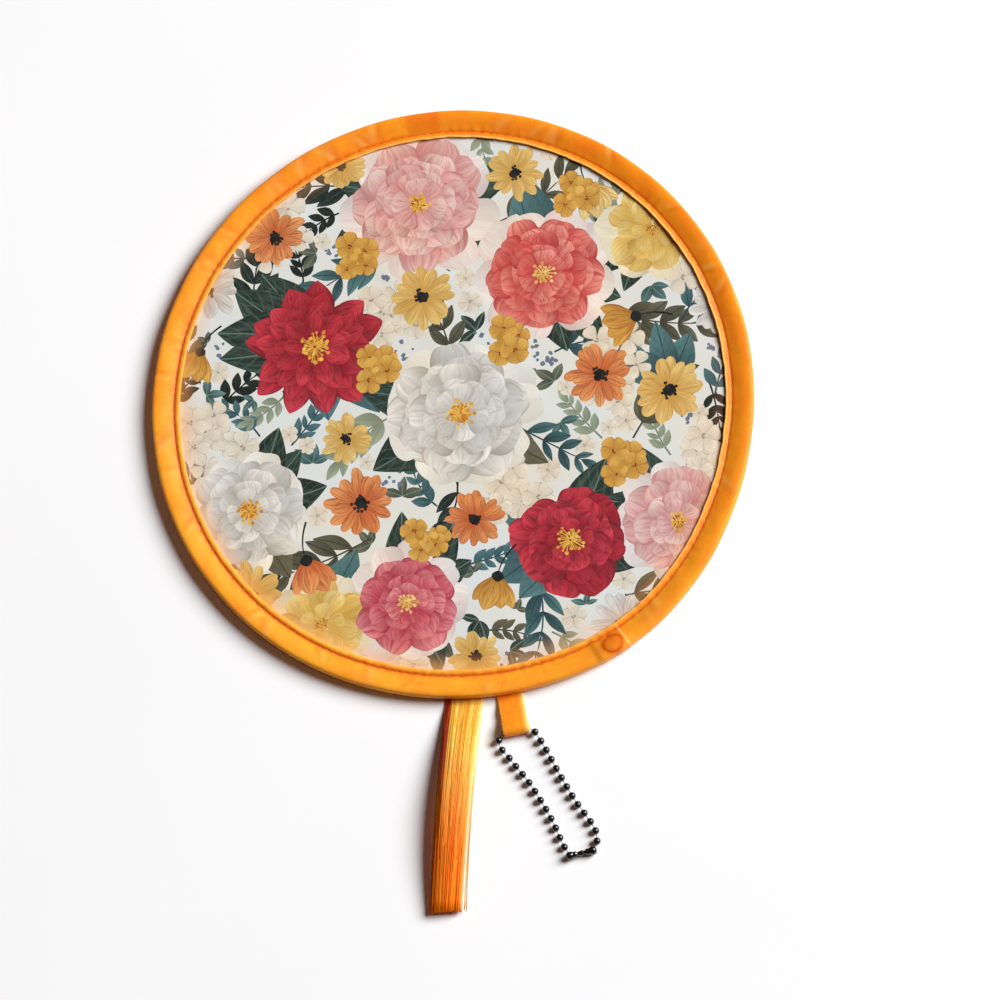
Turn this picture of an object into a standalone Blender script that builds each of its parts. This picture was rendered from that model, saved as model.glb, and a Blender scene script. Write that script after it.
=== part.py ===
"""Round folding hand fan, lying open with its printed face up.

A spring-steel hoop in a sewn satin binding stretches a disc of printed cloth. The hoop comes
to a soft point where the strip's ends meet. A ribbon tab and a strand tassel are sewn under
the rim, and a loop of ball chain hangs in the tab. Metres, +Z up. The tassel and the tab
point along -Y.
"""
import math

import bmesh
import bpy
from mathutils import Matrix, Vector

MM = 0.001

# Fan
FAN_RADIUS = 100.0 * MM
PEAK_RISE = 3.3 * MM
PEAK_ANGLE = math.radians(-51.0)
PEAK_SPREAD = math.radians(30.0)
FIT_GAP = 0.12 * MM
RING_STATIONS = 72

# Printed cloth
CLOTH_THICKNESS = 0.4 * MM
CLOTH_HELD = 3.4 * MM

# Satin binding, folded over the hoop and sewn near its inner edge
BINDING_WIDTH = 9.3 * MM
BINDING_HEIGHT = 4.0 * MM
TAPE_THICKNESS = 0.36 * MM
LIP_WIDTH = 2.6 * MM
SEAM_INSET = 2.0 * MM
SEAM_WIDTH = 0.7 * MM
LIP_CROWN = 0.15 * MM
FLAT_WIDTH = 2.6 * MM
EDGE_ROUND = 0.6 * MM

# Spring hoop and the sleeve crimped over its two ends
HOOP_DEPTH = 1.0 * MM
HOOP_THICKNESS = 0.5 * MM
HOOP_HEIGHT = 2.4 * MM
HOOP_END_GAP = 0.6 * MM
FERRULE_ANGLE = math.radians(-57.0)
FERRULE_LENGTH = 8.0 * MM
FERRULE_WALL = 0.25 * MM
FERRULE_PINCH = 0.04 * MM
FERRULE_SWELL = 0.5 * MM
FERRULE_STEPS = 8
CRIMP_STEPS = (2, 6)
# Places along the joint as shares of the sleeve's length: swell of the tape, lap of its end
JOINT_SHARES = (
    (-0.95, 0.0, 0.0),
    (-0.60, 1.0, 1.0),
    (0.00, 1.0, 1.0),
    (0.52, 1.0, 1.0),
    (0.57, 0.9, 0.0),
    (0.95, 0.0, 0.0),
)

# What is sewn under the rim
SEWN_THICKNESS = 0.9 * MM
SEWN_REACH = 0.5 * MM
# How much further in its bend lies, as the rim curves away across its width
SEWN_EASE = 0.5 * MM
HINGE_REACH = 1.1 * MM

# Ribbon tab
TAB_AZIMUTH = math.radians(11.4)
TAB_WIDTH = 8.7 * MM
TAB_REACH = 14.05 * MM
RIBBON_THICKNESS = 0.4 * MM
TUNNEL_RADIUS = 1.55 * MM
TUNNEL_LENGTH = 7.5 * MM
# How far the fold wraps round the tunnel to each side of its outermost line, in degrees
FOLD_WRAP = 98
FOLD_STEPS = 12
NOSE_TURNS = (90, 135, 180, 225, 270)

# Tassel
TASSEL_AZIMUTH = math.radians(2.9)
TASSEL_WIDTH = 12.8 * MM
TASSEL_TIP_WIDTH = 10.4 * MM
TASSEL_LENGTH = 70.0 * MM
TASSEL_DRIFT = 8.1 * MM
TASSEL_ARCH = 4.4 * MM
TASSEL_THICKNESS = 3.5 * MM
TASSEL_FLARE = 16.0 * MM
LOCK_GROOVE = 0.32 * MM
LOCK_COUNT = 18
TASSEL_RINGS = 13
TASSEL_RAGGED = 1.1 * MM
# Powers that flatten the bundle's outline across and in height, and that crowd its rings
# towards the rim; turn of the ragged tip from one edge of a lock to the next
SIDE_POWER = 0.8
FACE_POWER = 0.7
RING_POWER = 1.3
RAGGED_TURN = 2.4

# Ball chain: hollow beads joined by wires with a ball head at each end
BEAD_RADIUS = 1.25 * MM
BEAD_CAVITY = 1.05 * MM
BEAD_HOLE = 0.42 * MM
BEAD_FLARE = 0.56 * MM
BEAD_SIDES = 10
BEAD_BANDS = 4
BEAD_PITCH = 3.54 * MM
PIVOT_OFFSET = 0.53 * MM
HEAD_RADIUS = 0.47 * MM
HEAD_TIP_SHARE = 0.85
WIRE_RADIUS = 0.18 * MM
# Place of the middle bead in the tunnel: to the left of its middle, and in from its axis
TUNNEL_SHIFT = 0.3 * MM
TUNNEL_INSET = 0.35 * MM
# Each bead's heading from -Y towards +X, and its slope, in degrees, from the tab to the clasp
LEFT_HEADINGS = (-64, -8, 46, 36, 40, 39, 36, 32, 31, 30, 28, 24, 22, 30, 42)
RIGHT_HEADINGS = (89, 34, 32, 29, 27, 29, 30, 30, 31, 35, 37, 35, 23, -6, -45)
SLOPES = (0, -9, -5, 0, 0, 0, 0, 0, 0, 0, 0, 0, 0, 3, 6)
# Beads that begin a new body, counted from the tunnel's mouth
BEND_BEFORE = (3, 6, 9, 12)

# Chain clasp, a slotted sleeve with a pocket at each end
CLASP_BORE = 1.35 * MM
CLASP_WALL = 0.25 * MM
CLASP_WAIST = 0.7 * MM
CLASP_LIP = 0.6 * MM
CLASP_SLOT = math.radians(100.0)
CLASP_STEPS = 10
# A pocket's stations as shares of the bore: the place from the end bead's middle, the radius of
# its inside (or else the waist's or the lip's), and how the wall adds to place and radius outside
WAIST_SHARES = (-1.6, -1 / 3, 1.0)
NECK_SHARES = (-0.9, -1 / 3, 1.0)
NECK_BORE_SHARE = 0.87
MOUTH_SHARES = (0.66, 1.0, 0.7)
LIP_SHARES = (0.9, 1.0, 0.0)

# Colours
ORANGE = (0.93, 0.36, 0.03, 1.0)
DEEP_ORANGE = (0.86, 0.29, 0.02, 1.0)
CREAM = (0.86, 0.83, 0.78, 1.0)
STEEL = (0.55, 0.56, 0.58, 1.0)
BLACK = (0.012, 0.012, 0.014, 1.0)

# Heights worked out from the sizes above, from the surface that the fan lies on
HALF_HEIGHT = BINDING_HEIGHT / 2
MID_HEIGHT = SEWN_THICKNESS + FIT_GAP + HALF_HEIGHT
SLOT_HALF = CLOTH_THICKNESS / 2 + FIT_GAP
LIP_HALF = SLOT_HALF + TAPE_THICKNESS
HINGE_HEIGHT = SEWN_THICKNESS / 2
FOLD_RADIUS = TUNNEL_RADIUS + RIBBON_THICKNESS
LINK_LENGTH = BEAD_PITCH - 2 * PIVOT_OFFSET


def clear_scene():
    for item in list(bpy.data.objects):
        bpy.data.objects.remove(item, do_unlink=True)


def material(name, colour, roughness, metallic=0.0):
    mat = bpy.data.materials.new(name)
    mat.use_nodes = True
    shader = mat.node_tree.nodes["Principled BSDF"]
    shader.inputs["Base Color"].default_value = colour
    shader.inputs["Roughness"].default_value = roughness
    shader.inputs["Metallic"].default_value = metallic
    mat.diffuse_color = colour
    return mat


def empty(name, matrix, parent=None):
    """A parent for pieces that move together; matrix is its place in the fan's frame."""
    node = bpy.data.objects.new(name, None)
    bpy.context.collection.objects.link(node)
    node["place"] = [value for row in matrix for value in row]
    if parent is None:
        node.matrix_basis = matrix
    else:
        node.parent = parent
        node.matrix_basis = place_of(parent).inverted() @ matrix
    return node


def place_of(node):
    flat = node["place"]
    return Matrix([flat[row * 4:row * 4 + 4] for row in range(4)])


def finish(bm, name, carrier, mat, smooth_angle=None):
    """Turns the faces out, hands the mesh to an object and hangs it on its carrier."""
    bmesh.ops.recalc_face_normals(bm, faces=bm.faces)
    bm.transform(place_of(carrier).inverted())
    mesh = bpy.data.meshes.new(name)
    bm.to_mesh(mesh)
    bm.free()
    if smooth_angle is not None:
        mesh.shade_smooth()
        mesh.set_sharp_from_angle(angle=math.radians(smooth_angle))
    mesh.materials.append(mat)
    node = bpy.data.objects.new(name, mesh)
    bpy.context.collection.objects.link(node)
    node.parent = carrier
    return node


def loft(bm, rings, closed=False):
    """Skins rings of points; an open loft gets a cap at each end."""
    rows = [[bm.verts.new(point) for point in ring] for ring in rings]
    following = rows[1:] + rows[:1] if closed else rows[1:]
    for near, far in zip(rows, following):
        for i in range(len(near)):
            j = (i + 1) % len(near)
            bm.faces.new((near[i], far[i], far[j], near[j]))
    if not closed:
        caps = [bm.faces.new(rows[0]), bm.faces.new(rows[-1][::-1])]
        bmesh.ops.triangulate(bm, faces=caps)


def extrude_outline(bm, loops, matrix, width):
    """Fills a flat outline, with its holes, in the matrix's YZ plane and extrudes it along X."""
    edges = []
    for loop in loops:
        verts = [bm.verts.new(matrix @ Vector((-width / 2, y, z))) for y, z in loop]
        edges += [bm.edges.new((verts[i - 1], verts[i])) for i in range(len(verts))]
    filled = bmesh.ops.triangle_fill(bm, edges=edges, use_beauty=True)
    faces = [item for item in filled["geom"] if isinstance(item, bmesh.types.BMFace)]
    side = bmesh.ops.extrude_face_region(bm, geom=faces)
    moved = [item for item in side["geom"] if isinstance(item, bmesh.types.BMVert)]
    bmesh.ops.translate(bm, verts=moved, vec=matrix.to_3x3() @ Vector((width, 0, 0)))


def rim_radius(angle):
    """Reach of the rim from the disc's centre; it grows to a soft point at the hoop's joint."""
    away = (angle - PEAK_ANGLE + math.pi) % math.tau - math.pi
    return FAN_RADIUS + PEAK_RISE * math.exp(-(away / PEAK_SPREAD) ** 2)


def on_rim(angle, depth, height):
    """A point at an angle round the disc, a depth in from the rim, above its middle plane."""
    radius = rim_radius(angle) - depth
    return Vector((radius * math.cos(angle), radius * math.sin(angle), MID_HEIGHT + height))


def radial_frame(azimuth, reach, height):
    """X along the rim, Y outwards and Z up, at a place past the rim."""
    out = Vector((math.sin(azimuth), -math.cos(azimuth), 0))
    along = Vector((-math.cos(azimuth), -math.sin(azimuth), 0))
    frame = Matrix((along, out, Vector((0, 0, 1)))).transposed().to_4x4()
    frame.translation = out * (rim_radius(azimuth - math.pi / 2) + reach) + Vector((0, 0, height))
    return frame


def frame_along(centre, direction, up=Vector((0, 0, 1))):
    """X along a direction, Z as near to up as it allows."""
    x = direction.normalized()
    y = up.cross(x).normalized()
    frame = Matrix((x, y, x.cross(y))).transposed().to_4x4()
    frame.translation = centre
    return frame


def binding_section(swell, lap):
    """The folded tape's cross-section as (depth from the rim, height above the middle)."""
    top = HALF_HEIGHT + swell
    seam = BINDING_WIDTH - SEAM_INSET
    shoulder = seam - SEAM_WIDTH
    flat_end = EDGE_ROUND + FLAT_WIDTH
    roof = top - TAPE_THICKNESS
    corner = top - EDGE_ROUND
    outer = [
        (BINDING_WIDTH, LIP_HALF),
        (BINDING_WIDTH - SEAM_INSET / 2, LIP_HALF + LIP_CROWN),
        (seam, LIP_HALF),
        (shoulder, LIP_HALF + LIP_CROWN + lap / 2),
        (flat_end, top + lap - LIP_CROWN),
        (EDGE_ROUND, top + lap),
        (-swell - lap, corner),
    ]
    under = [
        (-swell - lap, -corner),
        (EDGE_ROUND, -top),
        (flat_end, -top),
        (shoulder, -LIP_HALF - LIP_CROWN),
        (seam, -LIP_HALF),
        (BINDING_WIDTH - SEAM_INSET / 2, -LIP_HALF - LIP_CROWN),
        (BINDING_WIDTH, -LIP_HALF),
    ]
    channel = [
        (BINDING_WIDTH, -SLOT_HALF),
        (BINDING_WIDTH - LIP_WIDTH, -SLOT_HALF),
        (flat_end, LIP_CROWN - roof),
        (HOOP_DEPTH, -roof),
        (TAPE_THICKNESS - swell, TAPE_THICKNESS - corner),
        (TAPE_THICKNESS - swell, corner - TAPE_THICKNESS),
        (HOOP_DEPTH, roof),
        (flat_end, roof - LIP_CROWN),
        (BINDING_WIDTH - LIP_WIDTH, SLOT_HALF),
        (BINDING_WIDTH, SLOT_HALF),
    ]
    return outer + under + channel


def make_binding(fan, mat):
    """Sweeps the tape round the disc; it swells over the sleeve and steps at its lapped end."""
    joint_turn = FERRULE_LENGTH / FAN_RADIUS
    joint = [(FERRULE_ANGLE + share * joint_turn, swell, lap) for share, swell, lap in JOINT_SHARES]
    first, last = joint[0][0], joint[-1][0]
    step = math.tau / RING_STATIONS
    plain = [i * step for i in range(-RING_STATIONS // 2, RING_STATIONS // 2)]
    plain = [a for a in plain if a < first - step / 4 or a > last + step / 4]
    stations = sorted(joint + [(angle, 0.0, 0.0) for angle in plain])
    rings = []
    for angle, swell, lap in stations:
        section = binding_section(swell * FERRULE_SWELL, lap * TAPE_THICKNESS)
        rings.append([on_rim(angle, depth, height) for depth, height in section])
    bm = bmesh.new()
    loft(bm, rings, closed=True)
    return finish(bm, "edge_binding", fan, mat, 35)


def make_cloth(fan, mat):
    depth = BINDING_WIDTH - CLOTH_HELD
    angles = [math.tau * i / RING_STATIONS for i in range(RING_STATIONS)]
    rings = [[on_rim(angle, depth, side * CLOTH_THICKNESS / 2) for angle in angles] for side in (-1, 1)]
    bm = bmesh.new()
    loft(bm, rings)
    return finish(bm, "printed_cloth", fan, mat)


def make_hoop(fan, mat):
    """The flat spring strip, whose ends meet inside the sleeve."""
    half_gap = HOOP_END_GAP / 2 / (FAN_RADIUS - HOOP_DEPTH)
    start = FERRULE_ANGLE + half_gap
    turn = math.tau - 2 * half_gap
    near, far = HOOP_DEPTH - HOOP_THICKNESS / 2, HOOP_DEPTH + HOOP_THICKNESS / 2
    half = HOOP_HEIGHT / 2
    section = [(near, -half), (near, half), (far, half), (far, -half)]
    rings = []
    for i in range(RING_STATIONS + 1):
        angle = start + turn * i / RING_STATIONS
        rings.append([on_rim(angle, depth, height) for depth, height in section])
    bm = bmesh.new()
    loft(bm, rings)
    return finish(bm, "spring_hoop", fan, mat)


def make_ferrule(fan, mat):
    """A flat sleeve round both strip ends, pinched at two crimps."""
    bore_deep = HOOP_THICKNESS / 2 + FIT_GAP
    bore_high = HOOP_HEIGHT / 2 + FIT_GAP
    corners = ((-1, -1), (-1, 1), (1, 1), (1, -1))
    rings = []
    for i in range(FERRULE_STEPS + 1):
        share = i / FERRULE_STEPS - 0.5
        pinch = FERRULE_PINCH if i in CRIMP_STEPS else 0.0
        angle = FERRULE_ANGLE + share * FERRULE_LENGTH / FAN_RADIUS
        rings.append((angle, FERRULE_WALL - pinch))
    bm = bmesh.new()
    outer, inner = [], []
    for angle, wall in rings:
        outer.append([
            bm.verts.new(on_rim(angle, HOOP_DEPTH + x * (bore_deep + wall), z * (bore_high + wall)))
            for x, z in corners
        ])
        inner.append([
            bm.verts.new(on_rim(angle, HOOP_DEPTH + x * bore_deep, z * bore_high))
            for x, z in corners
        ])
    for shell in (outer, inner):
        for near, far in zip(shell, shell[1:]):
            for i in range(4):
                j = (i + 1) % 4
                bm.faces.new((near[i], far[i], far[j], near[j]))
    for end in (0, -1):
        for i in range(4):
            j = (i + 1) % 4
            bm.faces.new((outer[end][i], outer[end][j], inner[end][j], inner[end][i]))
    return finish(bm, "hoop_ferrule", fan, mat)


def make_sewn_end(name, fan, mat, azimuth, width):
    """The flat end of a ribbon or tassel, pressed up under the binding and past its edge."""
    inner = SEAM_INSET / 4 - BINDING_WIDTH
    shoulder = SEAM_INSET + SEAM_WIDTH - BINDING_WIDTH - SEWN_EASE
    flat_end = -EDGE_ROUND - FLAT_WIDTH - SEWN_EASE
    under_lip = -LIP_HALF - LIP_CROWN - FIT_GAP
    under_rim = -HALF_HEIGHT - FIT_GAP
    top = [(inner, under_lip), (shoulder, under_lip), (flat_end, under_rim), (SEWN_REACH, under_rim)]
    base = [(reach, height - SEWN_THICKNESS) for reach, height in reversed(top)]
    bm = bmesh.new()
    extrude_outline(bm, [top + base], radial_frame(azimuth, 0, MID_HEIGHT), width)
    return finish(bm, name, fan, mat)


def make_tab(hinge, tunnel_height, mat):
    """The folded ribbon: two layers that part to leave a tunnel inside the fold."""
    nose = HINGE_HEIGHT
    reach = TAB_REACH - FOLD_RADIUS - HINGE_REACH
    rise = tunnel_height - HINGE_HEIGHT
    outer = [(nose * math.cos(turn), nose * math.sin(turn)) for turn in map(math.radians, NOSE_TURNS)]
    hole = [(reach + TUNNEL_RADIUS - TUNNEL_LENGTH, rise * (1 - TUNNEL_LENGTH / reach / 2))]
    for i in range(FOLD_STEPS + 1):
        turn = math.radians(FOLD_WRAP * (2 * i / FOLD_STEPS - 1))
        outer.append((reach + FOLD_RADIUS * math.cos(turn), rise + FOLD_RADIUS * math.sin(turn)))
        hole.append((reach + TUNNEL_RADIUS * math.cos(turn), rise + TUNNEL_RADIUS * math.sin(turn)))
    bm = bmesh.new()
    extrude_outline(bm, [outer, hole], place_of(hinge), TAB_WIDTH)
    return finish(bm, "ribbon_tab", hinge, mat, 35)


def tassel_ring(along):
    """One outline of the bundle, at a share of its length: flat, ridged by its locks."""
    flare = min(1.0, along * TASSEL_LENGTH / TASSEL_FLARE)
    flare = flare * flare * (3 - 2 * flare)
    half_thick = HINGE_HEIGHT + (TASSEL_THICKNESS / 2 - HINGE_HEIGHT) * flare
    half_wide = (TASSEL_WIDTH + (TASSEL_TIP_WIDTH - TASSEL_WIDTH) * along) / 2
    rest = (TASSEL_THICKNESS / 2 - HINGE_HEIGHT) * along
    height = TASSEL_ARCH * math.sin(math.pi * along) + rest
    ring = []
    for i in range(2 * LOCK_COUNT):
        turn = math.pi * i / LOCK_COUNT
        groove = LOCK_GROOVE * flare * (i % 2)
        wide, high = math.cos(turn), math.sin(turn)
        x = (half_wide - groove) * math.copysign(abs(wide) ** SIDE_POWER, wide)
        z = (half_thick - groove) * math.copysign(abs(high) ** FACE_POWER, high)
        ring.append(Vector((x + TASSEL_DRIFT * along, TASSEL_LENGTH * along, z + height)))
    return ring


def make_tassel(hinge, mat):
    """A flat bundle of strands that arches off the surface and rests on its cut tip."""
    rings = [tassel_ring((i / (TASSEL_RINGS - 1)) ** RING_POWER) for i in range(TASSEL_RINGS)]
    for i, point in enumerate(rings[-1]):
        point.y += TASSEL_RAGGED * (math.sin(RAGGED_TURN * i) - 1) / 2
    place = place_of(hinge)
    bm = bmesh.new()
    loft(bm, [[place @ point for point in ring] for ring in rings])
    return finish(bm, "tassel_strands", hinge, mat, 50)


def heading(degrees, slope=0.0):
    """Unit direction: degrees from -Y towards +X, tilted up by the slope."""
    turn, tilt = math.radians(degrees), math.radians(slope)
    flat = Vector((math.sin(turn), -math.cos(turn), 0))
    return flat * math.cos(tilt) + Vector((0, 0, math.sin(tilt)))


def walk_beads(middle, axis, headings):
    """Places of the beads past the middle one, each as (centre, axis from hole to hole)."""
    beads = [(middle, axis)]
    for degrees, slope in zip(headings, SLOPES):
        centre, before = beads[-1]
        after = heading(degrees, slope)
        link = (before + after).normalized()
        centre = centre + (before + after) * PIVOT_OFFSET + link * LINK_LENGTH
        beads.append((centre, after))
    return beads[1:]


def link_rings(near, far):
    """Outline of the wire that leaves one bead and ends in a ball head inside the next."""
    start = near[0] + near[1] * PIVOT_OFFSET
    place = frame_along(start, pivot(far) - start)
    length = (pivot(far) - start).length
    neck = math.sqrt(HEAD_RADIUS ** 2 - WIRE_RADIUS ** 2)
    profile = [
        (BEAD_RADIUS - PIVOT_OFFSET + WIRE_RADIUS, WIRE_RADIUS),
        (length - neck, WIRE_RADIUS),
        (length, HEAD_RADIUS),
        (length + HEAD_TIP_SHARE * HEAD_RADIUS, HEAD_RADIUS / 2),
    ]
    return turned_rings(place, profile)


def pivot(bead):
    """Where the head of the link before it turns inside a bead."""
    return bead[0] - bead[1] * PIVOT_OFFSET


def turned_rings(place, profile):
    """Rings of points round a frame's X axis, one for each (place along it, radius)."""
    rings = []
    for x, r in profile:
        turns = [math.tau * (i + 0.5) / BEAD_SIDES for i in range(BEAD_SIDES)]
        rings.append([place @ Vector((x, r * math.cos(a), r * math.sin(a))) for a in turns])
    return rings


def ball_profile():
    """Latitudes of a bead's outside between two flared holes, along its axis."""
    flare = math.asin(BEAD_FLARE / BEAD_RADIUS)
    turns = [math.pi - flare - (math.pi - 2 * flare) * i / BEAD_BANDS for i in range(BEAD_BANDS + 1)]
    return [(BEAD_RADIUS * math.cos(a), BEAD_RADIUS * math.sin(a)) for a in turns]


def make_bead(name, carrier, mat, bead, following=None):
    """A hollow bead with the link that hangs in it; the next link's head turns in its hollow."""
    hole = math.sqrt(BEAD_CAVITY ** 2 - BEAD_HOLE ** 2)
    inside = [
        (WIRE_RADIUS, HEAD_RADIUS / 2),
        (hole - WIRE_RADIUS, HEAD_RADIUS),
        (0.0, BEAD_CAVITY),
        (-hole, BEAD_HOLE),
    ]
    if following is None:
        # The run's last bead: its own head fills the hole on the far side
        inside[0:2] = [(hole, BEAD_HOLE)]
    place = frame_along(*bead)
    rings = turned_rings(place, inside + ball_profile())
    if following is not None:
        rings += link_rings(bead, following)
    bm = bmesh.new()
    loft(bm, rings)
    return finish(bm, name, carrier, mat, 60)


def make_middle_bead(name, carrier, mat, bead, left, right):
    """The bead in the middle of the tab's tunnel, with a link to each side."""
    other = (bead[0], -bead[1])
    place = frame_along(*bead)
    rings = link_rings(other, left)[::-1]
    rings = [mirror_ring(ring, bead) for ring in rings]
    rings += turned_rings(place, ball_profile()) + link_rings(bead, right)
    bm = bmesh.new()
    loft(bm, rings)
    return finish(bm, name, carrier, mat, 60)


def mirror_ring(ring, bead):
    """Orders a ring that was turned about the opposite axis like the rings about this one."""
    place = frame_along(*bead)
    inverse = place.inverted()
    turns = [math.atan2((inverse @ p).z, (inverse @ p).y) % math.tau for p in ring]
    return [ring[i] for i in sorted(range(len(ring)), key=turns.__getitem__)]


def make_clasp(carrier, mat, left_end, right_end, towards_fan):
    """A turned sleeve, open along the side that both links come in from."""
    span = right_end - left_end
    stations = [
        (WAIST_SHARES, CLASP_WAIST),
        (NECK_SHARES, NECK_BORE_SHARE * CLASP_BORE),
        ((0.0, 0.0, 1.0), CLASP_BORE),
        (MOUTH_SHARES, NECK_BORE_SHARE * CLASP_BORE),
        (LIP_SHARES, CLASP_LIP),
    ]
    inner, outer = [], []
    for (share, wall_along, wall_out), radius in stations:
        along = span.length / 2 + share * CLASP_BORE
        inner.append((along, radius))
        outer.append((along + wall_along * CLASP_WALL, radius + wall_out * CLASP_WALL))
    section = [(-x, r) for x, r in reversed(outer)] + outer
    section += inner[::-1] + [(-x, r) for x, r in inner]
    place = frame_along((left_end + right_end) / 2, span, up=towards_fan)
    rings = []
    for i in range(CLASP_STEPS + 1):
        turn = CLASP_SLOT / 2 + (math.tau - CLASP_SLOT) * i / CLASP_STEPS
        rings.append([
            place @ Vector((x, r * math.sin(turn), r * math.cos(turn))) for x, r in section
        ])
    bm = bmesh.new()
    loft(bm, rings)
    return finish(bm, "chain_clasp", carrier, mat, 40)


def lay_chain():
    """Both runs of beads from the tunnel, and the height that lays them on the surface."""
    frame = radial_frame(TAB_AZIMUTH, TAB_REACH - FOLD_RADIUS, 0)
    rightwards = -frame.col[0].to_3d()
    middle = frame @ Vector((TUNNEL_SHIFT, -TUNNEL_INSET, 0))
    left = walk_beads(middle, -rightwards, LEFT_HEADINGS)
    right = walk_beads(middle, rightwards, RIGHT_HEADINGS)
    lift = Vector((0, 0, BEAD_RADIUS - min(centre.z for centre, _ in left + right)))
    left = [(centre + lift, axis) for centre, axis in left]
    right = [(centre + lift, axis) for centre, axis in right]
    return left, right, (middle + lift, rightwards)


def make_chain(tab_hinge, mat):
    """A bead loop through the tab, split where its bodies bend, and closed by the clasp."""
    left, right, middle = lay_chain()
    swing_place = radial_frame(TAB_AZIMUTH, TAB_REACH - FOLD_RADIUS, middle[0].z)
    body = empty("chain_swing_axis", swing_place, tab_hinge)
    make_middle_bead("chain_bead_middle", body, mat, middle, left[0], right[0])
    bends = 0
    for i in range(len(left)):
        if i in BEND_BEFORE:
            bends += 1
            near, far = pivot(left[i]), pivot(right[i])
            axis_place = frame_along((near + far) / 2, far - near)
            body = empty(f"chain_bend_{bends}_axis", axis_place, body)
        for side, run in (("left", left), ("right", right)):
            following = run[i + 1] if i + 1 < len(run) else None
            make_bead(f"chain_bead_{side}_{i:02d}", body, mat, run[i], following)
    towards_fan = radial_frame(TAB_AZIMUTH, 0, 0).col[1].to_3d() * -1
    make_clasp(body, mat, left[-1][0], right[-1][0], towards_fan)
    return middle[0].z


def build():
    clear_scene()
    satin = material("orange_satin", ORANGE, 0.42)
    ribbon = material("orange_ribbon", ORANGE, 0.35)
    strands = material("tassel_strand", DEEP_ORANGE, 0.40)
    cloth = material("printed_cloth", CREAM, 0.62)
    steel = material("spring_steel", STEEL, 0.30, 1.0)
    black = material("black_metal", BLACK, 0.22, 0.6)

    fan = empty("fan_axis", Matrix.Identity(4))
    make_hoop(fan, steel)
    make_ferrule(fan, steel)
    binding = make_binding(fan, satin)
    make_cloth(fan, cloth)
    make_sewn_end("tab_sewn_end", fan, ribbon, TAB_AZIMUTH, TAB_WIDTH)
    make_sewn_end("tassel_sewn_end", fan, strands, TASSEL_AZIMUTH, TASSEL_WIDTH)

    tassel_hinge = empty(
        "tassel_hinge", radial_frame(TASSEL_AZIMUTH, HINGE_REACH, HINGE_HEIGHT), fan)
    tassel = make_tassel(tassel_hinge, strands)
    tab_hinge = empty("tab_hinge", radial_frame(TAB_AZIMUTH, HINGE_REACH, HINGE_HEIGHT), fan)
    tunnel_height = make_chain(tab_hinge, black)
    make_tab(tab_hinge, tunnel_height, ribbon)

    # The frame's origin is under the middle of the whole object's box
    place = place_of(tassel_hinge)
    reach = min((place @ vertex.co).y for vertex in tassel.data.vertices)
    sides = [vertex.co.x for vertex in binding.data.vertices]
    fan.location = (-(min(sides) + max(sides)) / 2, -(reach + FAN_RADIUS) / 2, 0)


build()
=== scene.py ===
import math
import random

import bpy
import numpy as np
from mathutils import Matrix, Vector
from mathutils.geometry import delaunay_2d_cdt


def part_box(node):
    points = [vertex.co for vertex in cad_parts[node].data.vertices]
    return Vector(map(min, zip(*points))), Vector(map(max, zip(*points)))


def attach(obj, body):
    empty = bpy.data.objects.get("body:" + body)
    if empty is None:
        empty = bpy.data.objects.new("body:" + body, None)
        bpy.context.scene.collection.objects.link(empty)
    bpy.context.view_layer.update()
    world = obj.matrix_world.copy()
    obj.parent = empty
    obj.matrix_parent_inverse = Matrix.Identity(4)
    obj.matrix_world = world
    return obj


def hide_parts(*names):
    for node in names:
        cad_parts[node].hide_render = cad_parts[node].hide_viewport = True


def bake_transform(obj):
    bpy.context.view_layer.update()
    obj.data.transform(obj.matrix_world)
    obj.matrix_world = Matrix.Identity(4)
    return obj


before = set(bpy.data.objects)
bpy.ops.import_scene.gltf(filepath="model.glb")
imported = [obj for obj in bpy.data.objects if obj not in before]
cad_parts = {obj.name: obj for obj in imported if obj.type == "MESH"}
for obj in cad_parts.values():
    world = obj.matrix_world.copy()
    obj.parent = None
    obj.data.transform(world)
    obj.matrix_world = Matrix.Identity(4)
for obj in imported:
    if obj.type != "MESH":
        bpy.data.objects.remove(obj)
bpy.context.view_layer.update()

MM = 0.001
UP = Vector((0, 0, 1))

# Sizes of the fan's pieces
FAN_RADIUS = 100.0 * MM
PEAK_RISE = 3.3 * MM
PEAK_ANGLE = math.radians(-51.0)
PEAK_SPREAD = math.radians(30.0)
MID_HEIGHT = 3.02 * MM
TAPE_THICKNESS = 0.36 * MM
SEAM_DEPTH = 7.3 * MM
CLOTH_RADIUS = 93.9 * MM
CLOTH_THICKNESS = 0.24 * MM
FERRULE_ANGLE = math.radians(-57.0)
FERRULE_LENGTH = 8.0 * MM
FERRULE_SWELL = 0.5 * MM
LAP_SHARE = 0.545
LAP_END = FERRULE_ANGLE + LAP_SHARE * FERRULE_LENGTH / FAN_RADIUS
LIP_STAND = 0.42 * MM
RIM_STEPS = 960
STITCHES = 236
TAPE_THREAD = 0.26 * MM
CLOTH_THREAD = 0.21 * MM
THREAD_RELIEF = 0.02 * MM
# The side away from this turn gets a painted golden glow
PAINTED_GLOW_TURN = math.radians(50.0)
# Where the broad folded place crosses the tape, in degrees
BROAD_FOLD = 96.5

SEWN_THICKNESS = 0.9 * MM
HINGE_REACH = 1.1 * MM
HINGE_HEIGHT = 0.45 * MM

TAB_AZIMUTH = math.radians(11.4)
TAB_WIDTH = 8.7 * MM
TAB_REACH = 14.05 * MM
RIBBON_THICKNESS = 0.36 * MM
TUNNEL_RADIUS = 1.55 * MM
FOLD_RADIUS = 1.95 * MM
TAB_SEWN_REACH = 8.8 * MM
TAB_STAND = 1.1 * MM
LAYER_PLAY = 0.02 * MM
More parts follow.
